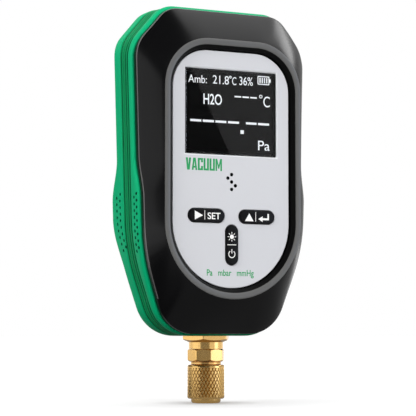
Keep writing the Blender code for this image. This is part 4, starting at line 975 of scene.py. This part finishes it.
# The word VACUUM in heavy narrow capitals, each drawn in millimetres from its lower left corner.
# The A's crossbar is a shape of its own that just fills the gap between the legs.
LETTERS = {
    "V": [[(0, 4.9), (0.95, 4.9), (1.2, 2.0), (1.45, 4.9), (2.4, 4.9), (1.75, 0), (0.65, 0)]],
    "A": [[(0, 0), (0.75, 0), (1.2, 3.6), (1.65, 0), (2.4, 0), (1.75, 4.9), (0.65, 4.9)],
          [(0.8625, 0.9), (1.5375, 0.9), (1.45, 1.6), (0.95, 1.6)]],
    "C": [[(0, 0), (2.3, 0), (2.3, 1.7), (1.45, 1.7), (1.45, 0.75), (0.85, 0.75), (0.85, 4.15),
           (1.45, 4.15), (1.45, 3.2), (2.3, 3.2), (2.3, 4.9), (0, 4.9)]],
    "U": [[(0, 0), (2.4, 0), (2.4, 4.9), (1.55, 4.9), (1.55, 0.75), (0.85, 0.75), (0.85, 4.9),
           (0, 4.9)]],
    "M": [[(0, 0), (0.7, 0), (0.7, 3.0), (1.25, 0.9), (1.65, 0.9), (2.2, 3.0), (2.2, 0), (2.9, 0),
           (2.9, 4.9), (2.15, 4.9), (1.45, 2.3), (0.75, 4.9), (0, 4.9)]],
}
word, pen = [], WORD_LEFT
for letter in "VACUUM":
    for outline in LETTERS[letter]:
        word.append(flat_shape([((pen + x) / 1000, (WORD_BASE + z) / 1000) for x, z in outline]))
    pen += max(x for x, z in LETTERS[letter][0]) + LETTER_GAP
units = lettering("Pa   mbar   mmHg", 0.0026, -0.0112, 0.0517, 0.0212, weight=0.014)
printed = raise_print(gather(word + [units]), PANEL_FRONT_Y, INK_THICKNESS)
face_print = piece("face_print", printed, ink_green)
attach(face_print, "case")


# Keys: three caps moulded in black ABS, each with its legend printed in white. A cap slides in
# its own hole in the panel, kept in by a flange, and its soft edge stands just proud.
KEY_FRONT_Y = -0.0242
KEY_BACK_Y = -0.0191
KEY_EDGE = 0.0005
FLANGE = 0.0016
FLANGE_Y = -0.0201
EDGE_STEPS = 4

# Key plastic: black ABS with a soft half gloss, from a tool with a grain of 0.3 mm.
key_black = varied("moulded_black_keys", "0a0a0b", 3000.0, gloss=(0.34, 0.42), IOR=1.50,
                   Specular_IOR_Level=0.12)

# Legend white: pad-printed ink under a matt lacquer.
legend_white = varied("white_ink", "f2f2f0", 4000.0, 1.0, gloss=(0.45, 0.55), IOR=1.45)


def key_cap(name, x, z, upright):
    """One cap with its flange, drawn forward from its outline and rounded at the front."""
    form = bmesh.new()
    loop = draw_loop(form, pill(KEY_LENGTH + FLANGE, KEY_WIDTH + FLANGE, x, z, upright), KEY_BACK_Y)
    corners = form.verts[:]
    bmesh.ops.contextual_create(form, geom=loop)
    levels = [(FLANGE, FLANGE_Y), (0.0, FLANGE_Y)]
    for i in range(EDGE_STEPS + 1):
        turn = math.pi / 2 * i / EDGE_STEPS
        depth = KEY_FRONT_Y + KEY_EDGE * (1 - math.sin(turn))
        levels.append((-2 * KEY_EDGE * (1 - math.cos(turn)), depth))
    for grow, depth in levels:
        fresh, loop = pull(form, loop)
        outline = pill(KEY_LENGTH + grow, KEY_WIDTH + grow, x, z, upright)
        nearest = {}
        for corner in fresh:
            nearest[corner] = min(
                range(len(corners)), key=lambda i: (corners[i].co.xz - corner.co.xz).length_squared
            )
        rows = {index: corner for corner, index in nearest.items()}
        corners = [rows[index] for index in range(len(corners))]
        for corner, point in zip(corners, outline):
            corner.co = (point.x, depth, point.y)
    bmesh.ops.contextual_create(form, geom=loop)
    bmesh.ops.recalc_face_normals(form, faces=form.faces)
    return piece(name, form, key_black)


sun = Vector((-0.0004, 0.0674))
switch_mark = Vector((-0.0004, 0.0604))
rays = [Vector((math.cos(math.tau * i / 8), math.sin(math.tau * i / 8))) for i in range(8)]
legends = {
    "right_set": [
        flat_shape([(-0.0170, 0.0739), (-0.0133, 0.0757), (-0.0170, 0.0775)]),
        bar(-0.01267, -0.01243, 0.0740, 0.0777),
        lettering("SET", 0.0027, -0.0113, 0.0743, 0.0058, weight=0.014),
    ],
    "up_enter": [
        flat_shape([(0.0056, 0.0739), (0.0095, 0.0739), (0.00755, 0.0771)]),
        bar(0.01038, 0.01062, 0.0738, 0.0777),
        bar(0.0136, 0.0166, 0.0745, 0.0753),
        bar(0.0159, 0.0166, 0.0753, 0.0771),
        flat_shape([(0.0117, 0.0749), (0.0137, 0.0737), (0.0137, 0.0761)]),
    ],
    "power": [
        flat_shape(arc(sun, 0.0009, 0.0, math.tau, math.radians(15.0))[:-1]),
        *[stroke(sun + ray * 0.00125, sun + ray * 0.0019, 0.0003) for ray in rays],
        bar(-0.0024, 0.0016, 0.0640, 0.0643),
        open_ring(switch_mark, 0.0014, 0.00034, math.radians(125.0), math.radians(415.0)),
        stroke(switch_mark + Vector((0.0, 0.0003)), switch_mark + Vector((0.0, 0.0020)), 0.00034),
    ],
}
for name, (x, z, upright) in KEYS.items():
    cap = key_cap(name + "_cap", x, z, upright)
    form = raise_print(gather(legends[name]), KEY_FRONT_Y, INK_THICKNESS)
    marks = piece(name + "_legend", form, legend_white)
    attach(cap, name)
    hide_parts("key_" + name)
    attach(marks, name)


# Battery door: a flat ABS plate, moulded like the shells, that lies flush in the back. Two
# tongues hook under the shell at its top, and one screw at its foot draws it in.
DOOR_EDGE = 0.00025
DOOR_HEAD_WELL = 0.0024
DOOR_HEAD_SEAT_Y = BACK_Y - 0.0014

form = bmesh.new()
slab(form, rectangle(DOOR_HALF, DOOR_BOTTOM, DOOR_TOP, DOOR_CORNER), DOOR_FRONT_Y, BACK_Y)
soften(form, edges_at(form, BACK_Y), DOOR_EDGE, 2)
door = piece("rear_door", form, shell_black)
form = bmesh.new()
tongues(form, 0.0)
carve(door, piece("tongues", form), "UNION")
form = bmesh.new()
rod(form, DOOR_HOLE, 0.0, DOOR_SCREW_Z, DOOR_FRONT_Y - CLEAR, BACK_Y + CLEAR, 24)
carve(door, piece("screw_way", form))
form = bmesh.new()
rod(form, DOOR_HEAD_WELL, 0.0, DOOR_SCREW_Z, DOOR_HEAD_SEAT_Y - CLEAR, BACK_Y + CLEAR)
carve(door, piece("head_well", form))
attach(door, "case")
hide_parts("battery_door")


# Screws: zinc-plated steel, cold headed with a pan head and a cross recess. Four close the
# shells from the back and one holds the battery door.
HEAD_EDGE = 0.0008
POINT = 0.0007
CROSS_TURN = 0.6
CROSS_DEPTH = 0.0018

# Zinc plate: a bright bluish grey, a little cloudy.
screw_zinc = varied("zinc_plated_steel", "b4b8bd", 1200.0, 3.0, gloss=(0.26, 0.42), Metallic=1.0)


def turned(profile, steps, matrix=None):
    """Spin a profile of (radius, height) pairs about Z into a closed skin."""
    form = bmesh.new()
    corners = [form.verts.new((radius, 0.0, height)) for radius, height in profile]
    edges = [form.edges.new(pair) for pair in zip(corners, corners[1:])]
    if profile[0][0] > 0.0:
        edges.append(form.edges.new((corners[-1], corners[0])))
    bmesh.ops.spin(form, geom=corners + edges, cent=(0.0, 0.0, 0.0), axis=(0.0, 0.0, 1.0),
                   angle=math.tau, steps=steps, use_merge=True)
    bmesh.ops.remove_doubles(form, verts=form.verts, dist=0.0000001)
    bmesh.ops.recalc_face_normals(form, faces=form.faces)
    if matrix:
        bmesh.ops.transform(form, matrix=matrix, verts=form.verts)
    return form


def make_screw(name, x, z, seat, radius, head_radius, head, length):
    """One screw lying along Y, its head outwards."""
    edge = (head_radius - HEAD_EDGE, head - HEAD_EDGE)
    rounded = arc(edge, HEAD_EDGE, math.pi / 2, 0.0, math.radians(18.0))
    profile = [(0.0, head), *rounded, (head_radius, 0.0), (radius, 0.0), (radius, POINT - length),
               (radius - POINT, -length), (0.0, -length)]
    stand = Matrix.Translation((x, seat, z)) @ Matrix.Rotation(-math.pi / 2, 4, "X")
    screw = piece(name, turned(profile, 40, stand), screw_zinc)
    for turn in (CROSS_TURN, CROSS_TURN + math.pi / 2):
        form = bmesh.new()
        size = Matrix.Diagonal((head_radius * 1.15, CROSS_DEPTH, head_radius * 0.26, 1.0))
        spin = Matrix.Translation((x, seat + head, z)) @ Matrix.Rotation(turn, 4, "Y")
        bmesh.ops.create_cube(form, size=1.0, matrix=spin @ size)
        carve(screw, piece("cross", form))
    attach(screw, "case")
    return screw


for number, (x, z) in enumerate(CASE_SCREWS, 1):
    screw = make_screw(f"shell_screw_{number}", x, z, well_floor(z) + CLEAR, radius=0.00135,
                       head_radius=0.0026, head=0.0018, length=0.0200)
    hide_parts(f"case_screw_{number}")
screw = make_screw("door_fixing", 0.0, DOOR_SCREW_Z, DOOR_HEAD_SEAT_Y, radius=0.0011,
                   head_radius=0.0021, head=0.0014, length=0.0099)
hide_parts("door_screw")


# Sensor port: turned from hexagonal brass bar, with the hex left to hold it by. Its shank goes
# up through the housing's foot, and a locknut and washer clamp it from inside.
HEX_FLATS = 0.0180
HEX_BOTTOM = 0.0250
HEX_TOP = 0.02755
HEX_TURN = math.radians(-2.5)
PORT_BORE = 0.0018

# Brass: a warm pale gold, bright from the tool, with turning marks drawn 0.15 mm apart, about
# three times as coarse as real ones, and a faint cloud of tarnish.
brass = varied("turned_brass", "dfb46c", 350.0, 3.0, gloss=(0.14, 0.22),
               tones=("dbae64", "e6be7c"), Metallic=1.0)
tree = brass.node_tree
place = add(tree, "TexCoord").outputs["Object"]
height = add(tree, "SeparateXYZ", {"Vector": place})
rings = add(tree, "Math", {0: height.outputs["Z"], 1: 42000.0}, operation="MULTIPLY")
wave = add(tree, "Math", {0: rings.outputs["Value"]}, operation="SINE")
relief = add(tree, "Bump", {"Height": wave.outputs["Value"], "Strength": 0.04, "Distance": 0.00001})
tree.links.new(relief.outputs["Normal"], tree.nodes["Principled BSDF"].inputs["Normal"])


def waste(sides, flats, turn, bottom, top):
    """What a mill takes off a round bar to leave flats: a disc with a many-sided hole."""
    reach = 2 * flats
    disc = piece("waste", turned([(0.0, top), (reach, top), (reach, bottom), (0.0, bottom)], 48))
    form = bmesh.new()
    corner = flats / 2 / math.cos(math.pi / sides)
    middle = Matrix.Translation((0.0, 0.0, (bottom + top) / 2))
    spin = Matrix.Rotation(turn - math.pi / 2, 4, "Z")
    bmesh.ops.create_cone(form, cap_ends=True, segments=sides, radius1=corner, radius2=corner,
                          depth=2 * (top - bottom), matrix=middle @ spin)
    upright = [edge for edge in form.edges if abs(edge.verts[0].co.z - edge.verts[1].co.z) > 0.001]
    soften(form, upright, 0.00022, 2)
    return carve(disc, piece("core", form))


port = piece("port_brass", turned([
    (0.0044, 0.0390), (0.0050, 0.0384), (0.0050, HEX_TOP), (0.0105, HEX_TOP), (0.0111, HEX_TOP - 0.0002),
    (0.0111, HEX_BOTTOM + 0.00165), (0.0071, HEX_BOTTOM), (0.0071, 0.0223),
    (0.0046, 0.0223), (0.0046, 0.0268), (PORT_BORE, 0.0268), (PORT_BORE, 0.0390),
], 128), brass)
carve(port, waste(6, HEX_FLATS, HEX_TURN, HEX_BOTTOM - 0.00015, HEX_TOP + 0.00015))
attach(port, "case")
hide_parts("sensor_port")


# Coupler: a turned brass body with an octagon for a spanner, pressed on the port's stub. Its
# tail goes down into the nut, where a snap ring lets the nut turn but not drop.
OCTAGON_FLATS = 0.0145
OCTAGON_BOTTOM = 0.0170
OCTAGON_TOP = 0.0222
OCTAGON_TURN = math.radians(-12.0)
TAIL = 0.0085

coupler = piece("coupler_brass", turned([
    (0.0043, 0.0262), (0.0043, OCTAGON_TOP), (0.0071, OCTAGON_TOP), (0.0080, OCTAGON_TOP - 0.0008),
    (0.0080, OCTAGON_BOTTOM + 0.0009), (0.0068, OCTAGON_BOTTOM), (0.0061, OCTAGON_BOTTOM),
    (0.0061, OCTAGON_BOTTOM - 0.0002), (0.0063, OCTAGON_BOTTOM - 0.0004),
    (0.0063, OCTAGON_BOTTOM - 0.0009), (0.0061, OCTAGON_BOTTOM - 0.0011),
    (0.0040, OCTAGON_BOTTOM - 0.0011), (0.0040, 0.0126), (0.0035, 0.0126), (0.0035, 0.0113),
    (0.0040, 0.0113), (0.0040, TAIL + 0.0006), (0.0034, TAIL), (PORT_BORE, TAIL),
    (PORT_BORE, 0.0262),
], 96), brass)
carve(coupler, waste(8, OCTAGON_FLATS, OCTAGON_TURN, OCTAGON_BOTTOM - 0.00002, OCTAGON_TOP + 0.00015))
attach(coupler, "case")
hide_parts("coupler_body")


# Swivel nut: turned from the same brass bar, knurled between two smooth shoulders so that
# fingers can turn it, and opened below for the service fitting.
NUT_RADIUS = 0.00765
KNURL_COUNT = 34
KNURL_ROW = 0.0027
KNURL_BOTTOM = 0.0026
KNURL_TOP = 0.0145
KNURL_DEPTH = 0.00025
KNURL_GAP = 0.00020
KNURL_ROWS = 5
KNURL_BACK = 0.0066
NUT_TOP = 0.0158
NUT_EDGE = 0.0008
NUT_CORE = 0.0070
NUT_BORE = 0.00495
LIP_EDGE = 0.0010
COLLAR_BORE = 0.0043
COLLAR_BOTTOM = 0.0126

form = bmesh.new()
low = KNURL_BOTTOM - (KNURL_ROWS * KNURL_ROW - (KNURL_TOP - KNURL_BOTTOM)) / 2
bmesh.ops.create_circle(form, segments=KNURL_COUNT, radius=NUT_RADIUS - KNURL_DEPTH,
                        matrix=Matrix.Translation((0.0, 0.0, low)))
loop = form.edges[:]
for i in range(KNURL_ROWS):
    fresh, loop = pull(form, loop)
    bmesh.ops.translate(form, vec=(0.0, 0.0, KNURL_ROW), verts=list(fresh))

# Each quad between the rings becomes four triangles, and without its own edges the triangles of
# neighbours join into diamonds, which the inset raises.
square = [edge for edge in form.edges if len(edge.link_faces) == 2]
bmesh.ops.recalc_face_normals(form, faces=form.faces)
bmesh.ops.poke(form, faces=form.faces[:])
for corner in form.verts:
    corner.co.xy = corner.co.xy.normalized() * (NUT_RADIUS - KNURL_DEPTH)
bmesh.ops.dissolve_edges(form, edges=square, use_verts=False)
bmesh.ops.inset_individual(form, faces=form.faces[:], thickness=KNURL_GAP, depth=KNURL_DEPTH,
                           use_even_offset=True)
for height, way in ((KNURL_BOTTOM, 1), (KNURL_TOP, -1)):
    bmesh.ops.bisect_plane(form, geom=form.verts[:] + form.edges[:] + form.faces[:], dist=0.000001,
                           plane_co=(0.0, 0.0, height), plane_no=(0.0, 0.0, -way), clear_outer=True)
ends = [edge for edge in form.edges if edge.is_boundary]
fresh, inner = pull(form, ends)
for corner in fresh:
    corner.co.xy = corner.co.xy.normalized() * KNURL_BACK
bmesh.ops.bridge_loops(form, edges=inner)
bmesh.ops.recalc_face_normals(form, faces=form.faces)
quarter, fine, coarse = math.pi / 2, math.radians(10.0), math.radians(15.0)
profile = [
    *arc((NUT_RADIUS - NUT_EDGE, NUT_TOP - NUT_EDGE), NUT_EDGE, quarter, 0.0, coarse),
    (NUT_RADIUS, KNURL_TOP + 0.00005), (NUT_CORE, KNURL_TOP - 0.0002),
    (NUT_CORE, KNURL_BOTTOM + 0.0002), (NUT_RADIUS, KNURL_BOTTOM - 0.00005),
    *arc((NUT_RADIUS - NUT_EDGE, KNURL_BOTTOM), NUT_EDGE, 0.0, -quarter, coarse),
    (0.0061, 0.0018),
    *arc((0.0051, LIP_EDGE), LIP_EDGE, 0.0, -quarter, fine),
    (0.0050, 0.0), (NUT_BORE, 0.0004), (NUT_BORE, COLLAR_BOTTOM),
    (COLLAR_BORE, COLLAR_BOTTOM), (COLLAR_BORE, NUT_TOP),
]
nut = piece("knurled_nut", gather([form, turned(profile, 96)]), brass)
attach(nut, "nut")
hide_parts("swivel_nut")


# Pieces inside the housing and the nut: the board and what it carries, the cells and contacts,
# the sensor and its seals. They are seen only through openings, so the solids stay as they are.
# Their finishes: nylon and resin as moulded, a glossy solder mask, pressed steel with a slight
# cloud, dull rubber, and a film sleeve around each cell.
white_nylon = varied("moulded_white_nylon", "dcdad4", 900.0, 3.0, gloss=(0.44, 0.56), IOR=1.53)
board_mask = varied("green_solder_mask", "0c4a2c", 600.0, 3.0, gloss=(0.29, 0.41), IOR=1.55)
chip_resin = varied("black_chip_resin", "1c1c1e", 2500.0, 3.0, gloss=(0.49, 0.61), IOR=1.55)
steel = varied("pressed_steel", "a8a8aa", 1200.0, 3.0, gloss=(0.26, 0.38), Metallic=1.0)
rubber = varied("black_nitrile_rubber", "141414", 2000.0, 3.0, gloss=(0.64, 0.76), IOR=1.52)
jacket = varied("printed_cell_sleeve", "37425c", 300.0, 3.0, gloss=(0.24, 0.36), IOR=1.55)
finishes = {
    "lcd_frame": white_nylon,
    "switch_right_set": chip_resin,
    "switch_up_enter": chip_resin,
    "switch_power": chip_resin,
    "main_board": board_mask,
    "ambient_sensor": rubber,
    "processor_chip": chip_resin,
    "buzzer": chip_resin,
    "sensor_connector": white_nylon,
    "sensor_lead": rubber,
    "port_washer": steel,
    "port_locknut": brass,
    "sensor_oring": rubber,
    "vacuum_sensor": steel,
    "nut_retaining_ring": steel,
    "flare_gasket": rubber,
    "core_depressor": brass,
    "contact_tab_low": steel,
    "contact_link_low": steel,
    "contact_link_top": steel,
    "contact_tab_top": steel,
}
for number in (1, 2, 3, 4):
    finishes[f"board_screw_{number}"] = steel
for number in (1, 2, 3):
    finishes[f"cell_{number}"] = jacket
    finishes[f"cell_spring_{number}"] = steel
for name, material in finishes.items():
    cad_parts[name].material_slots[0].material = material


# Studio: a white sweep under three soft lamps. Around it stand cards that show only in
# reflections: bright, grey and black ones at the sides, two overhead and three on the floor.
CARD_REACH = 0.65
CAMERA_BEARING = -116.5

# The sweep's own faint light grows away from the gauge, so that it meets the backdrop without a line;
# kept low near the gauge's foot, it is a painted shadow around the base. In a reflection the sweep is
# darker near the gauge, a painted shadow under it, and brighter far from it.
floor_white, tree, shader = new_material("white_sweep", Base_Color=linear("bebebe"), Roughness=0.9)
place = add(tree, "TexCoord").outputs["Object"]
reach = add(tree, "VectorMath", {0: place}, operation="LENGTH")
near = add(tree, "MapRange", {"Value": reach.outputs["Value"], "From Min": 0.004, "From Max": 0.024,
                              "To Min": 0.11, "To Max": 0.38})
far = add(tree, "MapRange", {"Value": reach.outputs["Value"], "From Min": 0.030, "From Max": 0.240,
                             "To Min": 0.0, "To Max": 0.30})
glow_with_painted_shadow = add(tree, "Math", {0: near.outputs["Result"], 1: far.outputs["Result"]}, operation="ADD")
path = add(tree, "LightPath")
# In reflections the painted shadow is deepest near the gauge.
shine = add(tree, "MapRange", {"Value": reach.outputs["Value"], "From Min": 0.10, "From Max": 0.26,
                               "To Min": 0.36, "To Max": 1.35})
dim = add(tree, "MapRange", {"Value": path.outputs["Is Glossy Ray"], "To Min": 0.12,
                             "To Max": shine.outputs["Result"]})
glow = add(tree, "Emission", {"Color": linear("ffffff"), "Strength": glow_with_painted_shadow.outputs["Value"]})
bounce = add(tree, "Emission", {"Color": linear("ffffff"), "Strength": dim.outputs["Result"]})
both = add(tree, "AddShader", {0: shader.outputs["BSDF"], 1: glow.outputs["Emission"]})
mix = add(tree, "MixShader", {0: path.outputs["Is Camera Ray"], 1: bounce.outputs["Emission"],
                              2: both.outputs["Shader"]})
tree.links.new(mix.outputs["Shader"], tree.nodes["Material Output"].inputs["Surface"])
form = bmesh.new()
bmesh.ops.create_circle(form, cap_ends=True, segments=96, radius=6.0)
floor = piece("studio_floor", form, floor_white)


def stage_card(name, form, glow, colour="ffffff"):
    """Stage a card that shows only in reflections, as bright as asked."""
    paper, tree, shader = new_material(
        name, Base_Color=linear("000000"), Roughness=1.0, Specular_IOR_Level=0.0,
        Emission_Color=linear(colour), Emission_Strength=glow
    )
    made = piece(name, form, paper)
    made.visible_camera = False
    made.visible_diffuse = False
    made.visible_shadow = False


def flat_card(name, glow, corners):
    """A flat card between corners given in millimetres."""
    form = bmesh.new()
    form.faces.new([form.verts.new(Vector(corner) / 1000) for corner in corners])
    stage_card(name, form, glow)


def wall_card(name, glow, start, end, low, high, colour="ffffff"):
    """A curved card around the piece, between two bearings counted right from the camera."""
    form = bmesh.new()
    foot = math.radians(CAMERA_BEARING + start)
    across, along = CARD_REACH * math.cos(foot), CARD_REACH * math.sin(foot)
    corners = [form.verts.new((across, along, z)) for z in (low, high)]
    side = form.edges.new(corners)
    bmesh.ops.spin(form, geom=corners + [side], cent=(0.0, 0.0, 0.0), axis=(0.0, 0.0, 1.0),
                   angle=math.radians(end - start), steps=24)
    stage_card(name, form, glow, colour)


wall_card("low_left", 1.6, -100.0, -36.0, -0.05, 0.055)
wall_card("low_middle", 0.30, -36.0, 24.0, -0.05, 0.055)
wall_card("low_right", 1.0, 24.0, 62.0, -0.05, 0.055)
wall_card("black_card", 0.03, -53.0, 24.0, 0.055, 0.42)
wall_card("grey_card", 0.48, 24.0, 62.0, 0.055, 0.42)
wall_card("right_softbox", 3.5, 62.0, 88.0, -0.20, 0.40, "dbe7ff")
wall_card("left_softbox", 1.05, -91.0, -53.0, 0.135, 0.42)
wall_card("left_shade", 0.05, -155.0, -93.0, 0.05, 0.42)
wall_card("right_grey", 0.56, 88.0, 134.0, 0.05, 0.42)
wall_card("right_shade", 0.50, 134.0, 176.0, 0.05, 0.42)
wall_card("high_softbox", 6.2, 108.0, 133.0, 0.43, 0.85)

# The display's card has one slanting side, which ends the glare on the pane in a slanting line.
flat_card("display_card", 0.0, [(120, -400, 120), (207, -400, 120), (158, -400, 215), (120, -400, 215)])
flat_card("overhead_black", 0.02,
          [(-2500, -900, 900), (100, -900, 900), (100, 600, 900), (-2500, 600, 900)])
flat_card("overhead_softbox", 2.1,
          [(130, -600, 900), (800, -600, 900), (800, 200, 900), (130, 200, 900)])
flat_card("floor_black", 0.03, [(-200, -200, 1), (-45, -200, 1), (-45, 200, 1), (-200, 200, 1)])
flat_card("floor_grey", 0.50, [(110, -60, 1), (450, -60, 1), (450, 260, 1), (110, 260, 1)])
flat_card("floor_dark", 0.45, [(-89, -46, 2), (-4, -100, 2), (-27, -619, 2), (-550, -286, 2)])

# The world is white to the eye and in glass and metal, and a softer light on what is matt.
world = bpy.data.worlds.new("white_studio")
bpy.context.scene.world = world
world.use_nodes = True
tree = world.node_tree
back = tree.nodes["Background"]
back.inputs["Color"].default_value = linear("ffffff")
path = add(tree, "LightPath")
seen = add(tree, "Math", {0: path.outputs["Is Camera Ray"], 1: path.outputs["Is Glossy Ray"]},
           operation="MAXIMUM")
seen = add(tree, "Math", {0: seen.outputs["Value"], 1: path.outputs["Is Transmission Ray"]},
           operation="MAXIMUM")
level = add(tree, "MapRange", {"Value": seen.outputs["Value"], "To Min": 0.62, "To Max": 1.0})
tree.links.new(level.outputs["Result"], back.inputs["Strength"])


def lamp(name, place, target, size, power):
    """A square soft lamp that faces a point and lights only what is matt."""
    data = bpy.data.lights.new(name, "AREA")
    data.size = size
    data.energy = power
    made = bpy.data.objects.new(name, data)
    bpy.context.scene.collection.objects.link(made)
    made.location = place
    made.rotation_euler = (Vector(target) - Vector(place)).to_track_quat("-Z", "Y").to_euler()
    made.visible_glossy = False


MIDDLE_OF_GAUGE = (0.0, 0.0, 0.09)
lamp("soft_lamp", (0.10, -1.20, 0.38), MIDDLE_OF_GAUGE, 0.7, 10.5)
lamp("left_lamp", (-0.95, -0.15, 0.45), MIDDLE_OF_GAUGE, 0.7, 7.5)
lamp("top_lamp", (0.0, 0.2, 1.2), MIDDLE_OF_GAUGE, 0.9, 5.0)

# The camera stands where the photo's stood, a little below the middle, with a long lens.
data = bpy.data.cameras.new("camera")
data.sensor_width = 36.0
data.lens = 147.1
data.clip_start = 0.01
camera = bpy.data.objects.new("camera", data)
bpy.context.scene.collection.objects.link(camera)
yaw, pitch = math.radians(26.571), math.radians(4.105)
forward = Vector((math.sin(yaw) * math.cos(pitch), math.cos(yaw) * math.cos(pitch), math.sin(pitch)))
camera.location = (-0.31435, -0.63050, 0.03000)
camera.rotation_euler = forward.to_track_quat("-Z", "Y").to_euler()
bpy.context.scene.camera = camera
bpy.context.scene.view_settings.view_transform = "Standard"
